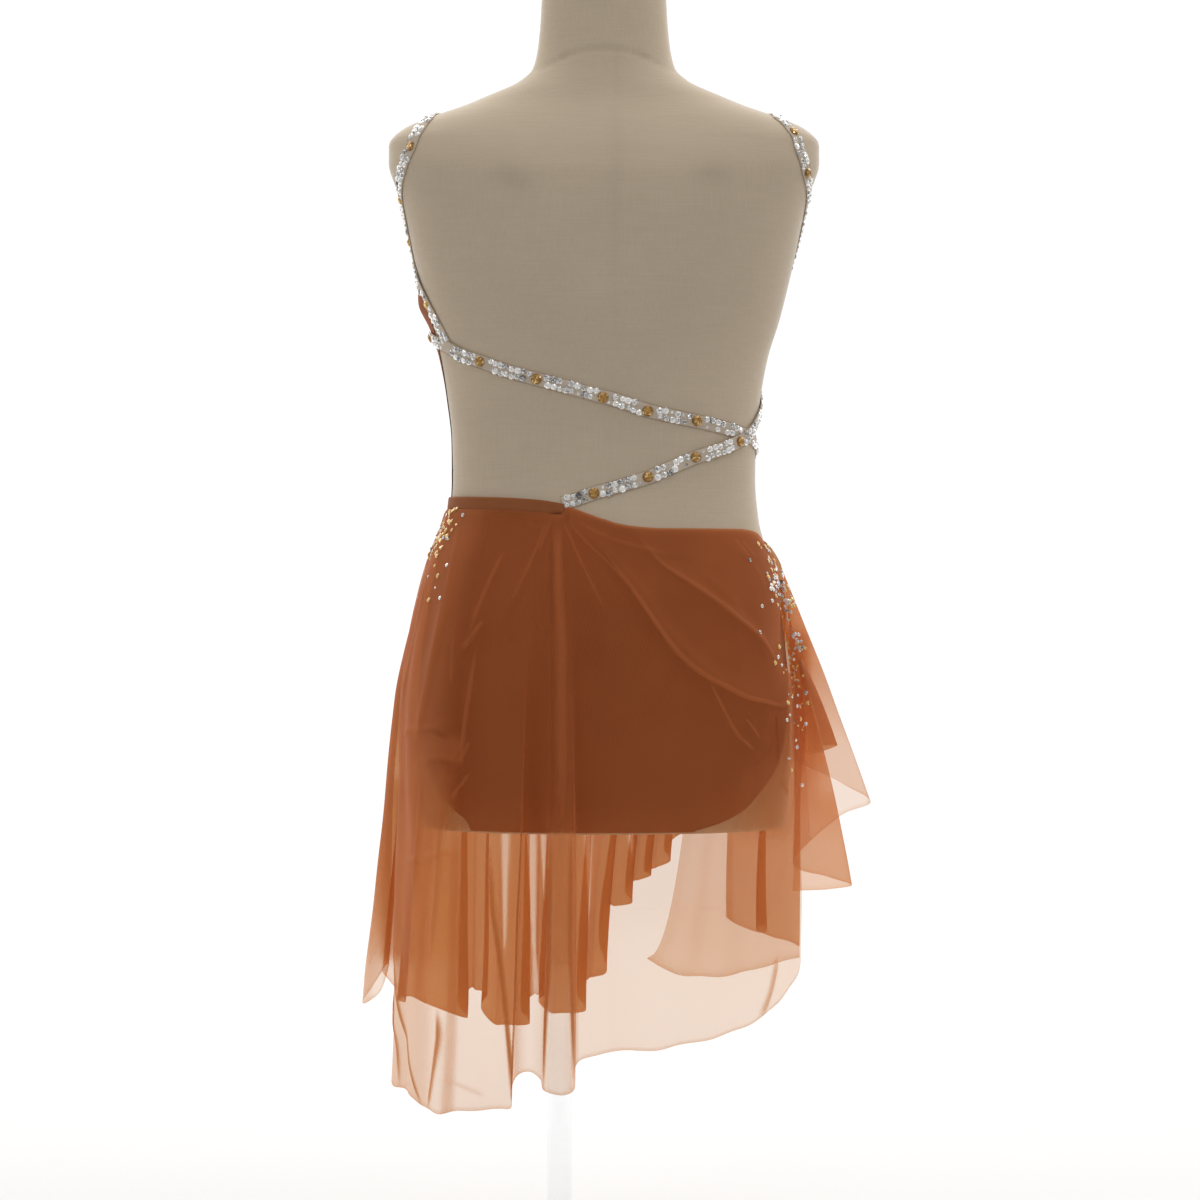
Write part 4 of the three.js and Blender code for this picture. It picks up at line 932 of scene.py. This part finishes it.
def build_waistband():
    angle = np.linspace(BAND_FROM, BAND_TO, 150)[None, :]
    across = np.linspace(0, 1, 13)[:, None]
    z = waist_at(angle) - (WAISTBAND_HEIGHT - 4.5 / (1 + np.exp(-(angle + 16.5) / 1.1))) * across
    roll = np.sqrt(np.clip(1 - (2 * across - 1) ** 8, 0, 1))
    pucker = 0.2 * np.sin(angle * 3.1 + 2.0 * np.sin(angle * 0.9)) * np.exp(-((across - 0.85) / 0.12) ** 2)
    gap = OVER + 0.3 + 0.8 * roll - 0.6 * np.exp(-((across - 0.9) / 0.06) ** 2) + pucker
    return thick_grid("waistband_left", lay(z, angle, OVER - 0.3 + 0 * z), lay(z, angle, gap + 0 * z), WAIST_KNIT)


LAP, ON = OVER, SKIN
STRAPS = {
    "strap_left": [(962, -141, LAP), (985, -141, ON), (1010, -139, ON), (1036, -134, ON), (1058, -122, ON), (1070, -106, ON),
                   (1074, -90, ON), (1070, -72, ON), (1063, -61, ON), (1053, -58, ON), (1041, -60, ON), (1025, -66, ON),
                   (1009, -76, ON), (990, -83, ON), (966, -85.5, ON), (944, -86.5, ON), (925, -82.5, LAP), (908, -77, 1.7),
                   (894, -72.5, 1.3), (883, -69.5, ON), (874, -67.5, ON), (866, -66, ON)],
    "strap_right": [(962, 141, LAP), (985, 141, ON), (1010, 139, ON), (1036, 134, ON), (1058, 122, ON), (1070, 106, ON),
                    (1074, 90, ON), (1071, 74, ON), (1065, 63, ON), (1054, 60, ON), (1040, 61.5, ON), (1023, 67, ON),
                    (1008, 77, ON), (990, 86, ON), (966, 92, ON), (942, 99, ON), (915, 110, ON), (890, 122, LAP),
                    (876, 131, LAP), (868, 136, LAP)],
    "strap_upper": [(876, -88, 2.4), (870, -76, 2.3), (863.5, -65, 2.0), (856, -56.5, 1.3), (849.5, -46, ON), (841, -34.5, ON),
                    (833, -22, ON), (825, -10, ON), (817, 0, ON), (805, 14, ON), (799, 27, ON), (793, 44, ON), (788, 60, ON),
                    (784, 72, ON), (777, 88, ON), (771, 104, ON), (767, 118, LAP), (764, 128, LAP), (762, 134, LAP)],
    "strap_lower": [(724, -13, ON), (728.5, -7, ON), (733, -2.6, ON), (739.5, 4.5, ON), (747, 14, ON), (755.5, 22.5, ON),
                    (764.5, 33, ON), (772.5, 46, LAP), (781, 60, LAP), (790, 71, LAP), (805, 82, LAP), (822, 96, ON),
                    (836, 112, LAP), (844, 124, LAP), (848, 133, LAP)],
}
BAND_THICK = 0.8


def strap_frame(route, steps):
    s = np.linspace(0, len(route) - 1, steps)
    idx = np.arange(len(route))
    z, angle, gap = (curve(idx, [r[k] for r in route])(s) for k in range(3))
    c = on_form(ring(z, angle), np.zeros(steps))
    along = unit(np.gradient(c, axis=0))
    normal = unit(slope(c))
    across = unit(np.cross(normal, along))
    length = np.concatenate([[0], np.cumsum(np.linalg.norm(np.diff(c, axis=0), axis=-1))])
    return c, along, across, normal, gap, length


def build_strap(name, route):
    steps = 240
    c, along, across, normal, gap, length = strap_frame(route, steps)
    w = np.linspace(-0.5, 0.5, 9)
    p = c[:, None] + across[:, None] * (w[None, :, None] * STRAP_WIDTH)
    g = np.broadcast_to(gap[:, None] - 0.5, p.shape[:2])
    roll = np.sqrt(np.clip(1 - np.abs(2 * w) ** 6, 0, 1))[None]
    under = on_form(p, g)
    over = on_form(p, g + 0.2 + (BAND_THICK - 0.2) * roll)
    band = thick_grid(name + "_band", under, over, NUDE)
    # the turned edges, a thin cord along each side
    tubes = []
    for key, side in (("a", 1.0), ("b", -1.0)):
        q = on_form(c + across * side * (STRAP_WIDTH / 2 - 0.2), gap - 0.2)
        tubes.append(tube_object(name + "_edge_" + key, q, 0.28, EDGE, normal))
    return band, tubes, (c, along, across, normal, gap, length)


def tube_object(name, path, radius, mat, up, sides=8):
    t = unit(np.gradient(path, axis=0))
    a = unit(up - t * (up * t).sum(-1, keepdims=True))
    b = np.cross(t, a)
    ang = np.linspace(0, 2 * math.pi, sides, endpoint=False)
    v = path[:, None] + radius * (a[:, None] * np.cos(ang)[None, :, None] + b[:, None] * np.sin(ang)[None, :, None])
    f = grid_faces(len(path), sides, closed=True)
    verts = v.reshape(-1, 3)
    caps = []
    for end, ring_i in ((0, 0), (1, len(path) - 1)):
        centre = len(verts)
        verts = np.concatenate([verts, path[[ring_i]]])
        k = ring_i * sides + np.arange(sides)
        nxt = ring_i * sides + (np.arange(sides) + 1) % sides
        caps.append(np.stack([nxt, k, np.full(sides, centre), np.full(sides, centre)], -1) if end == 0 else
                    np.stack([k, nxt, np.full(sides, centre), np.full(sides, centre)], -1))
    u = np.zeros((len(verts), 2))
    u[: len(path) * sides, 0] = np.repeat(np.arange(len(path)), sides)
    me = bpy.data.meshes.new(name)
    faces = [tuple(x) for x in f.tolist()] + [(q[0], q[1], q[2]) for cp in caps for q in cp.tolist()]
    me.from_pydata((verts * MM).tolist(), [], faces)
    me.update()
    me.polygons.foreach_set("use_smooth", np.full(len(me.polygons), True))
    layer = me.uv_layers.new(name="cloth")
    li = np.empty(len(me.loops), np.int32)
    me.loops.foreach_get("vertex_index", li)
    layer.data.foreach_set("uv", (u[li] * MM).ravel().astype(np.float32))
    me.materials.append(mat)
    o = bpy.data.objects.new(name, me)
    bpy.context.collection.objects.link(o)
    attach(o, "root")
    return o


# ------------------------------------------------------------------ stones
def stone_shape(sides, table, girdle, height):
    """A flat-backed faceted stone of radius 1: table, kite facets, girdle."""
    a = np.linspace(0, 2 * math.pi, sides, endpoint=False)
    h = math.pi / sides
    rings = [np.stack([np.cos(a), np.sin(a), np.zeros(sides)], -1),
             np.stack([np.cos(a), np.sin(a), np.full(sides, girdle)], -1),
             np.stack([0.74 * np.cos(a + h), 0.74 * np.sin(a + h), np.full(sides, girdle + 0.62 * (height - girdle))], -1),
             np.stack([table * np.cos(a), table * np.sin(a), np.full(sides, height)], -1)]
    v = np.concatenate(rings + [np.array([[0, 0, height]]), np.array([[0, 0, 0.0]])])
    f = []
    n = sides
    for i in range(n):
        j = (i + 1) % n
        f += [(i, j, n + j), (i, n + j, n + i)]
        f += [(n + i, n + j, 2 * n + i), (n + j, 2 * n + j, 2 * n + i)]
        f += [(2 * n + i, 2 * n + j, 3 * n + j), (3 * n + i, 2 * n + i, 3 * n + j)]
        f += [(3 * n + i, 3 * n + j, 4 * n), (j, i, 4 * n + 1)]
    return v, np.array(f)


CRYSTAL_SHAPE = stone_shape(8, 0.50, 0.12, 0.52)
AMBER_SHAPE = stone_shape(12, 0.56, 0.16, 0.50)


def stones_object(name, places, shape, mat, amber=False):
    """places: (centre, normal, radius) in mm. One joined mesh; each facet has its own shade, which carries painted
    highlights and painted reflection.
    """
    sv, sf = shape
    a, b, c = sv[sf[:, 0]], sv[sf[:, 1]], sv[sf[:, 2]]
    facet = unit(np.cross(b - a, c - a))
    middle = (a + b + c) / 3
    verts, faces, shades = [], [], []
    for k, (at, n, r) in enumerate(places):
        n = unit(np.array(n, float))
        n = unit(n + RNG.normal(0, 0.06, 3))
        x = unit(np.cross(n, (0.3, 0.2, 1.0)))
        y = np.cross(n, x)
        spin = RNG.uniform(0, 6.28)
        x, y = x * math.cos(spin) + y * math.sin(spin), y * math.cos(spin) - x * math.sin(spin)
        turn = np.stack([x, y, n])
        verts.append(np.array(at) + r * (sv @ turn))
        faces.append(sf + k * len(sv))
        if amber:      # painted light: rim facets are painted darker than the table and one facet in ten is painted as a bright highlight; small stones are a paler gold
            rim = np.clip((np.hypot(middle[:, 0], middle[:, 1]) - 0.45) / 0.5, 0, 1)
            painted_sparkle = RNG.uniform(0, 1, len(sf)) < 0.10
            shades.append(np.clip(0.40 - 0.22 * rim + RNG.normal(0, 0.08, len(sf)) + 0.5 * painted_sparkle + (0.30 if r < 4 else 0), 0, 1))
        else:          # painted reflection: facets that face down are painted lighter, as if they reflected the bright floor, and a random spread paints some facets light and some dark
            up = (facet @ turn)[:, 2]
            shades.append(np.clip(0.72 - 0.22 * up + RNG.normal(0, 0.30, len(sf)) + RNG.normal(0, 0.26), 0, 1))
    return mesh_object(name, np.concatenate(verts), np.concatenate(faces), mat, smooth=False,
                       face_attrs={"shade": np.concatenate(shades)})


# ------------------------------------------------------------------ the form
def build_form():
    zs = np.concatenate([np.linspace(FORM_BOTTOM, 1120, 170), np.linspace(1122, FORM_TOP, 26)])
    angle = np.linspace(0, 360, 160, endpoint=False)
    p = ring(zs[:, None], angle[None, :])
    # a soft turn at the bottom edge and at the neck's top
    bottom = ring(FORM_BOTTOM, angle)
    rows = []
    for inset, drop in ((0.80, -0.4), (0.965, -0.3), (0.985, 0.0)):
        q = bottom.copy()
        q[:, :2] *= inset
        q[:, 2] = FORM_BOTTOM + 0.3 + drop * 0
        rows.append(q)
    low = np.stack(rows)
    p[0, :, :2] *= 0.994
    p[0, :, 2] = FORM_BOTTOM + 0.6
    top = ring(FORM_TOP, angle)
    caps = []
    for inset, rise in ((0.985, 2.5), (0.93, 4.6), (0.8, 6.0), (0.5, 7.2), (0.2, 7.8)):
        q = top.copy()
        q[:, :2] *= inset
        q[:, 2] = FORM_TOP + rise
        caps.append(q)
    p = np.concatenate([low, p, np.stack(caps)])
    # seams: neck seam and centre-back seam, as fine grooves
    x, y, z = p[..., 0], p[..., 1], p[..., 2]
    neck = np.abs(z - (1113 + 13 * np.clip(1 - (x / 52) ** 2, 0, 1) * (y < 0)))
    groove = 1.1 * np.exp(-(neck / 1.8) ** 2) * (np.abs(x) < 62) * (z > 1100)
    back_seam = 0.35 * np.exp(-((x - 9) / 1.4) ** 2) * (y < 0) * (z > 540) * (z < 1125)
    d = groove + back_seam
    scale = 1 - d / np.maximum(np.hypot(x, y), 20)
    p[..., 0] *= scale
    p[..., 1] *= scale
    # painted shade: darker smudges over the shoulder blades and the middle of the upper back, and darker lines along
    # the neck seam and centre-back seam grooves
    painted_shade = np.zeros(p.shape[:2])
    for sx, sz, rx, rz, k in ((-83, 1011, 17, 11, 0.20), (96, 1012, 19, 11, 0.18), (-70, 1000, 11, 8, 0.10), (8, 1035, 34, 26, 0.10)):
        painted_shade += k * np.exp(-((x - sx) / rx) ** 2 - ((z - sz) / rz) ** 2) * (y < 0)
    painted_shade += 0.09 * np.exp(-(neck / 3.0) ** 2) * (np.abs(x) < 62) * (z > 1100)
    painted_shade += 0.07 * np.exp(-((x - 11) / 2.6) ** 2) * (y < 0) * (z > 560) * (z < 1125)
    rows_n, cols = p.shape[:2]
    f = grid_faces(rows_n, cols, closed=True).tolist()
    verts = p.reshape(-1, 3)
    n = len(verts)
    verts = np.concatenate([verts, [[0, 0, FORM_BOTTOM + 0.3]], [[0, 0, FORM_TOP + 8]]])
    for i in range(cols):
        j = (i + 1) % cols
        f.append((j, i, n))
        f.append(((rows_n - 1) * cols + i, (rows_n - 1) * cols + j, n + 1))
    me = bpy.data.meshes.new("form_cover")
    me.from_pydata((verts * MM).tolist(), [], f)
    me.update()
    me.polygons.foreach_set("use_smooth", np.full(len(me.polygons), True))
    a = me.attributes.new("painted_shade", "FLOAT", "POINT")
    a.data.foreach_set("value", np.concatenate([painted_shade.ravel(), [0, 0]]).astype(np.float32))
    me.materials.append(LINEN)
    o = bpy.data.objects.new("form_cover", me)
    bpy.context.collection.objects.link(o)
    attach(o, "root")
    return o


def turned_object(name, profile, sides, mat, cx=0.0, cy=0.0):
    prof = np.array(profile, float)
    ang = np.linspace(0, 2 * math.pi, sides, endpoint=False)
    v = np.stack([cx + prof[:, :1] * np.cos(ang), cy + prof[:, :1] * np.sin(ang), np.repeat(prof[:, 1:], sides, 1)], -1)
    rows_n = len(prof)
    f = grid_faces(rows_n, sides, closed=True).tolist()
    verts = v.reshape(-1, 3)
    n = len(verts)
    verts = np.concatenate([verts, [[cx, cy, prof[0, 1]]], [[cx, cy, prof[-1, 1]]]])
    for i in range(sides):
        j = (i + 1) % sides
        f.append((j, i, n))
        f.append(((rows_n - 1) * sides + i, (rows_n - 1) * sides + j, n + 1))
    me = bpy.data.meshes.new(name)
    me.from_pydata((verts * MM).tolist(), [], f)
    me.update()
    me.polygons.foreach_set("use_smooth", np.full(len(me.polygons), True))
    me.materials.append(mat)
    o = bpy.data.objects.new(name, me)
    bpy.context.collection.objects.link(o)
    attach(o, "root")
    return o


# ------------------------------------------------------------------ build
form = build_form()
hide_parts("form_torso")

r, z1 = POST["radius"], FORM_BOTTOM - 0.3
post = turned_object("post_rod", [(r - 1.4, 16.3), (r - 0.5, 16.6), (r, 17.4), (r, z1 - 1.1), (r - 0.5, z1 - 0.3), (r - 1.4, z1)],
                     64, ACRYLIC, POST["x"], POST["y"])
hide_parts("stand_post")
R, H, E = BASE["radius"], BASE["height"], BASE["edge"]
edge = [(R - 1.2, 0.0), (R - 0.3, 0.5), (R, 1.4), (R, H - E)]
edge += [(R - E * (1 - math.cos(t)), H - E + E * math.sin(t)) for t in np.linspace(0.2, math.pi / 2, 7)]
edge += [(R * 0.5, H), (24, H)]
base = turned_object("base_disc", edge, 160, ACRYLIC)
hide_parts("stand_base")

back = build_back()
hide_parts("skirt_back")
front = build_front()
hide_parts("skirt_front")
panel_front = build_panel("panel_front_plain", FRONT_PANEL, FRONT_PANEL_TOP, 3.2, 41, 1.0)
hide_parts("panel_front")
panel_side = build_panel("panel_side_folded", SIDE_PANEL, SIDE_PANEL_TOP, 2.8, 43, 2.0)
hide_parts("panel_side")
cascade = build_fall("cascade_frill", CASCADE, 18, 90, MESH_FRILL, 51, 1.0, 3.4)
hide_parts("cascade")
cascade_small = build_fall("cascade_small_frill", CASCADE_SMALL, 20, 44, MESH_FRILL, 61, 3.2, 5.0)
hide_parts("cascade_small")
waistband = build_waistband()
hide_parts("waistband")

front_body = build_front_body()
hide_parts("front_body")
brief = build_brief()
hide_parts("brief_back")

bands = {}
for name, route in STRAPS.items():
    band, tubes, info = build_strap(name, route)
    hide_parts(name)
    bands[name] = (band, tubes, info)

crystals, ambers = [], []


def strap_place(info, s, w, lift=0.0):
    """A place on the strap's face: s along it, w across it."""
    c, along, across, normal, gap, length = info
    p = np.stack([np.interp(s, length, c[:, k]) for k in range(3)], -1)
    a = unit(np.stack([np.interp(s, length, across[:, k]) for k in range(3)], -1))
    q = on_form((p + a * w)[None], np.array([np.interp(s, length, gap) - 0.5 + BAND_THICK + lift]))[0]
    return q, unit(slope(q[None]))[0]


def set_strap(info, amber_at, clear_of=None, start=0.0, end=None):
    """Ambers at the given lengths; two uneven rows of crystals fill the rest."""
    length = info[5]
    end = length[-1] if end is None else end
    for s, r in amber_at:
        q, n = strap_place(info, s, RNG.uniform(-0.6, 0.6), -0.05)
        ambers.append((q, n, r))
    for row in range(2):
        s = start + 3.0 + 3.0 * row
        while s < end - 2.4:
            w = (3.05 if row else -3.05) + RNG.uniform(-0.85, 0.85)
            ss = s + RNG.uniform(-0.6, 0.6)
            rad = float(RNG.choice([2.5, 2.9, 3.2], p=[0.25, 0.40, 0.35]))
            s += 5.5 + RNG.uniform(-0.4, 0.6)
            near = min((math.hypot(ss - a, w) - r for a, r in amber_at), default=99)
            if RNG.uniform() < 0.07:
                rad = 1.3
            if near < rad - 0.5 or RNG.uniform() < 0.05:
                continue
            q, n = strap_place(info, ss, w, -0.05)
            if clear_of is not None and np.min(np.linalg.norm(clear_of - q, axis=-1)) < 7.6:
                continue
            crystals.append((q, n, rad))


def along_at(info, places, radius=4.9):
    """Distance along the strap of the places nearest to pixels of the view, with the stone's radius."""
    c, length = info[0], info[5]
    px, py = in_view(c)
    out = []
    for x, y in places:
        e = (px - x) ** 2 + (py - y) ** 2 + np.where(c[:, 1] > 40, 4e3, 0)
        out.append((float(length[int(np.argmin(e))]), radius))
    return out


upper, lower, left_strap, right_strap = (bands[k][2] for k in ("strap_upper", "strap_lower", "strap_left", "strap_right"))
set_strap(upper, along_at(upper, [(437, 335), (480, 361), (536, 379), (604, 397), (648, 411), (697, 421)]) + [(upper[5][-1] - 34, 4.9)],
          clear_of=np.concatenate([lower[0], left_strap[0]]))
set_strap(lower, along_at(lower, [(594, 493), (647, 477), (695, 458), (738, 441)]) + [(lower[5][-1] - 28, 4.9)])
set_strap(left_strap, [(26, 4.6), (78, 4.6), (128, 4.6)] + along_at(left_strap, [(410, 146)], 4.6)
          + along_at(left_strap, [(401, 201), (408, 243), (425.7, 305.7)], 3.6))
set_strap(right_strap, [(26, 4.6), (78, 4.6), (128, 4.6)] + along_at(right_strap, [(793, 132), (808, 172)], 4.6)
          + [(right_strap[5][-1] - 100, 4.6), (right_strap[5][-1] - 52, 4.6)])

# stones on the hips: they sit on the cloth that the view shows there
targets = []
for o in (back, cascade, cascade_small, panel_side, front):
    me = o.data
    co = np.empty(len(me.vertices) * 3)
    me.vertices.foreach_get("co", co)
    targets.append(BVHTree.FromPolygons([Vector(v) for v in co.reshape(-1, 3)], [tuple(p.vertices) for p in me.polygons]))
form_tree = BVHTree.FromPolygons([v.co.copy() for v in form.data.vertices], [tuple(p.vertices) for p in form.data.polygons])


def drop_on(px, py, r, trees, stone_list):
    d = Vector(((px - 600) * PIXEL, 1, -(py - 600) * PIXEL)).normalized()
    best = None
    for t in trees:
        hit = t.ray_cast(CAMERA, d)
        if hit[0] is not None and (best is None or hit[3] < best[3]):
            best = hit
    if best is None:      # beside the outline: the nearest place on the cloth
        for t in trees:
            for far in np.linspace(2.45, 2.75, 25):
                near = t.find_nearest(CAMERA + d * far, 0.02)
                if near[0] is not None and (best is None or near[3] < best[3]):
                    best = near
    if best is None:
        return
    n = best[1].normalized()
    if n.dot(d) > 0:
        n = -n
    stone_list.append((np.array(best[0]) / MM + np.array(n) * 0.15, np.array(n), r))


A, S, F = targets[0], targets[1:3], targets[4]
LEFT = [A, F]
RIGHT = [A] + S
LEFT_SPOTS = [(455, 503, 1), (463, 515, 0), (440, 515, 1), (432, 530, 1), (448, 538, 0), (425, 545, 1), (447, 565, 0),
              (438, 576, 1), (440, 598, 0), (429, 600, 1), (450, 512, 1), (441, 541, 1)]
RIGHT_SPOTS = [(758, 544, 1), (765, 547, 1), (769, 545, 1), (768, 577, 1), (779, 647, 1), (775, 663, 1), (808, 703, 1),
               (788, 703, 1), (800, 719, 1), (791, 770, 1), (750, 560, 0), (771, 563, 0), (771, 585, 0), (760, 632, 0),
               (778, 657, 0), (789, 657, 0), (806, 693, 0), (797, 706, 0), (806, 724, 0), (787, 720, 0), (797, 747, 0),
               (802, 785, 0), (762, 606, 0)]
for spots, trees in ((LEFT_SPOTS, LEFT), (RIGHT_SPOTS, RIGHT)):
    for x, y, is_amber in spots:
        drop_on(x, y, 2.3 if is_amber else 1.9, trees, ambers if is_amber else crystals)


def cluster(path, count, spread, amber_share, trees, sizes=(1.3, 1.7, 2.1)):
    pts = np.array(path, float)
    s = RNG.uniform(0, len(pts) - 1, count)
    for v in s:
        i = min(int(v), len(pts) - 2)
        x, y = pts[i] + (pts[i + 1] - pts[i]) * (v - i) + RNG.normal(0, spread, 2)
        is_amber = RNG.uniform() < amber_share
        drop_on(x, y, float(RNG.choice(sizes)), trees, ambers if is_amber else crystals)


cluster([(455, 500), (447, 520), (440, 538), (431, 556)], 62, 4.4, 0.85, LEFT, (1.5, 1.9, 2.3))
cluster([(427, 548), (421, 566)], 14, 2.0, 0.15, LEFT)
cluster([(452, 500), (436, 540), (431, 580), (430, 600)], 18, 7.0, 0.5, LEFT, (0.9, 1.2, 1.5))
cluster([(773, 573), (778, 586), (784, 602)], 60, 4.2, 0.06, RIGHT)
cluster([(783, 603), (790, 622), (797, 640), (802, 652)], 34, 2.6, 0.3, RIGHT, (1.2, 1.5, 1.8))
cluster([(786, 640), (792, 662), (798, 684)], 34, 3.4, 0.6, RIGHT, (0.9, 1.2, 1.5))
cluster([(767, 550), (775, 566), (786, 590), (795, 612)], 30, 3.2, 0.75, RIGHT)
cluster([(776, 660), (792, 690), (800, 715), (797, 760)], 22, 5.0, 0.5, RIGHT, (0.9, 1.2, 1.5))

crystal_obj = stones_object("stones_clear", crystals, CRYSTAL_SHAPE, CRYSTAL)
amber_obj = stones_object("stones_amber", ambers, AMBER_SHAPE, AMBER, amber=True)

# ------------------------------------------------------------------ cloth: the stated cut of each sheet beside its modelled area
# The cut of each: bounding width and length in metres, and the flat area in square metres. These are stated
# figures: half of the wall's two faces in the solid part for loose cloth, and 8 percent less for what is cut small and stretched.
sheets = {
    "back": (back, (0.66, 0.54), 0.247, "draped", ["form_cover"]),
    "front": (front, (1.02, 0.50), 0.228, "gathered", ["form_cover"]),
    "panel_front": (panel_front, (0.25, 0.43), 0.051, "hung", ["form_cover"]),
    "panel_side": (panel_side, (0.15, 0.39), 0.034, "folded", ["form_cover"]),
    "cascade": (cascade, (0.28, 0.22), 0.0255, "hung", ["skirt_back_drape"]),
    "cascade_small": (cascade_small, (0.06, 0.08), 0.0024, "hung", ["skirt_back_drape"]),
    "waistband": (waistband, (0.182, 0.0126), 0.0022, "stretched", ["form_cover"]),
    "front_body": (front_body, (0.37, 0.50), 0.167, "stretched", ["form_cover"]),
    "brief": (brief, (0.37, 0.28), 0.088, "stretched", ["form_cover"]),
}
for o, flat, area, held, rests in sheets.values():
    shown = area_of(o) * (0.5 if o is waistband else 1.0)
    print("SHEET", o.name, "flat", flat, "stated m2", area, "modelled m2", round(shown, 4), "share", round(shown / area, 3))
print("STONES", len(crystals), len(ambers))

# ------------------------------------------------------------------ stage, light, camera
bpy.ops.mesh.primitive_plane_add(size=1, location=(0, 1.45, 0))
floor = bpy.context.object
floor.scale = (8.0, 3.9, 1.0)
floor.name = "studio_floor"
fm, nt, out = new_material("studio_floor")
p = principled(nt, 300, 0, Roughness=0.9)
p.inputs["Base Color"].default_value = (0.80, 0.80, 0.80, 1)
p.inputs["Specular IOR Level"].default_value = 0.1
link(nt, p, "BSDF", out, "Surface")
floor.data.materials.append(fm)

world = bpy.data.worlds.new("studio")
bpy.context.scene.world = world
world.use_nodes = True
nt = world.node_tree
nt.nodes.clear()
out = node(nt, "ShaderNodeOutputWorld", 600, 0)
tc = node(nt, "ShaderNodeTexCoord", -800, 0)
sep = node(nt, "ShaderNodeSeparateXYZ", -600, 0)
link(nt, tc, "Generated", sep, "Vector")
mr = node(nt, "ShaderNodeMapRange", -400, 0, interpolation_type="SMOOTHSTEP")
mr.inputs["From Min"].default_value = 0.22
mr.inputs["From Max"].default_value = 0.85
mr.inputs["To Min"].default_value = 0.34
mr.inputs["To Max"].default_value = 1.20
link(nt, sep, "Y", mr, "Value")
bg_light = node(nt, "ShaderNodeBackground", 0, 0)
bg_light.inputs["Color"].default_value = (1.0, 0.985, 0.96, 1)
rise = node(nt, "ShaderNodeMapRange", -400, -260)
rise.inputs["From Min"].default_value = -1.0
rise.inputs["To Min"].default_value = -0.12
rise.inputs["To Max"].default_value = 0.12
link(nt, sep, "Z", rise, "Value")
both = math_node(nt, "ADD", x=-200, y=-100)
link(nt, mr, "Result", both, 0)
link(nt, rise, "Result", both, 1)
link(nt, both, "Value", bg_light, "Strength")
bg_seen = node(nt, "ShaderNodeBackground", 0, 200)
bg_seen.inputs["Color"].default_value = (1, 1, 1, 1)
bg_seen.inputs["Strength"].default_value = 1.05
lp = node(nt, "ShaderNodeLightPath", -200, 400)
mx = node(nt, "ShaderNodeMixShader", 300, 100)
nt.links.new(lp.outputs["Is Camera Ray"], mx.inputs[0])
nt.links.new(bg_light.outputs[0], mx.inputs[1])
nt.links.new(bg_seen.outputs[0], mx.inputs[2])
nt.links.new(mx.outputs[0], out.inputs["Surface"])


def area_light(name, loc, to, size, power, colour=(1, 1, 1)):
    d = bpy.data.lights.new(name, "AREA")
    d.shape = "RECTANGLE"
    d.size, d.size_y = size
    d.energy = power
    d.color = colour
    o = bpy.data.objects.new(name, d)
    bpy.context.collection.objects.link(o)
    o.location = loc
    o.rotation_euler = (Vector(to) - Vector(loc)).to_track_quat("-Z", "Y").to_euler()
    return o


area_light("backdrop_light", (0, 2.45, 2.6), (0, 2.45, 0), (8, 4.4), 146)
area_light("top_soft", (0.3, -0.6, 3.0), (0, 0, 0.8), (1.6, 1.6), 9)
area_light("spark_left", (-1.4, -2.2, 2.0), (0, 0, 0.8), (0.25, 0.25), 2.2)
area_light("spark_right", (1.6, -1.9, 1.7), (0, 0, 0.8), (0.25, 0.25), 2.0)

cam = bpy.data.cameras.new("photo_camera")
cam.sensor_fit = "HORIZONTAL"
cam.sensor_width = 36.0
cam.lens = 36.0 * 2600 / (1200 * 0.9)
cam.clip_start, cam.clip_end = 0.05, 100
cam_obj = bpy.data.objects.new("photo_camera", cam)
bpy.context.collection.objects.link(cam_obj)
cam_obj.location = CAMERA
cam_obj.rotation_euler = (math.pi / 2, 0, 0)
bpy.context.scene.camera = cam_obj

sc = bpy.context.scene
sc.view_settings.view_transform = "Standard"
sc.view_settings.look = "None"
sc.view_settings.exposure = 0.0
sc.view_settings.gamma = 1.0
sc.cycles.transparent_max_bounces = 40
sc.cycles.max_bounces = 10
sc.cycles.transmission_bounces = 8

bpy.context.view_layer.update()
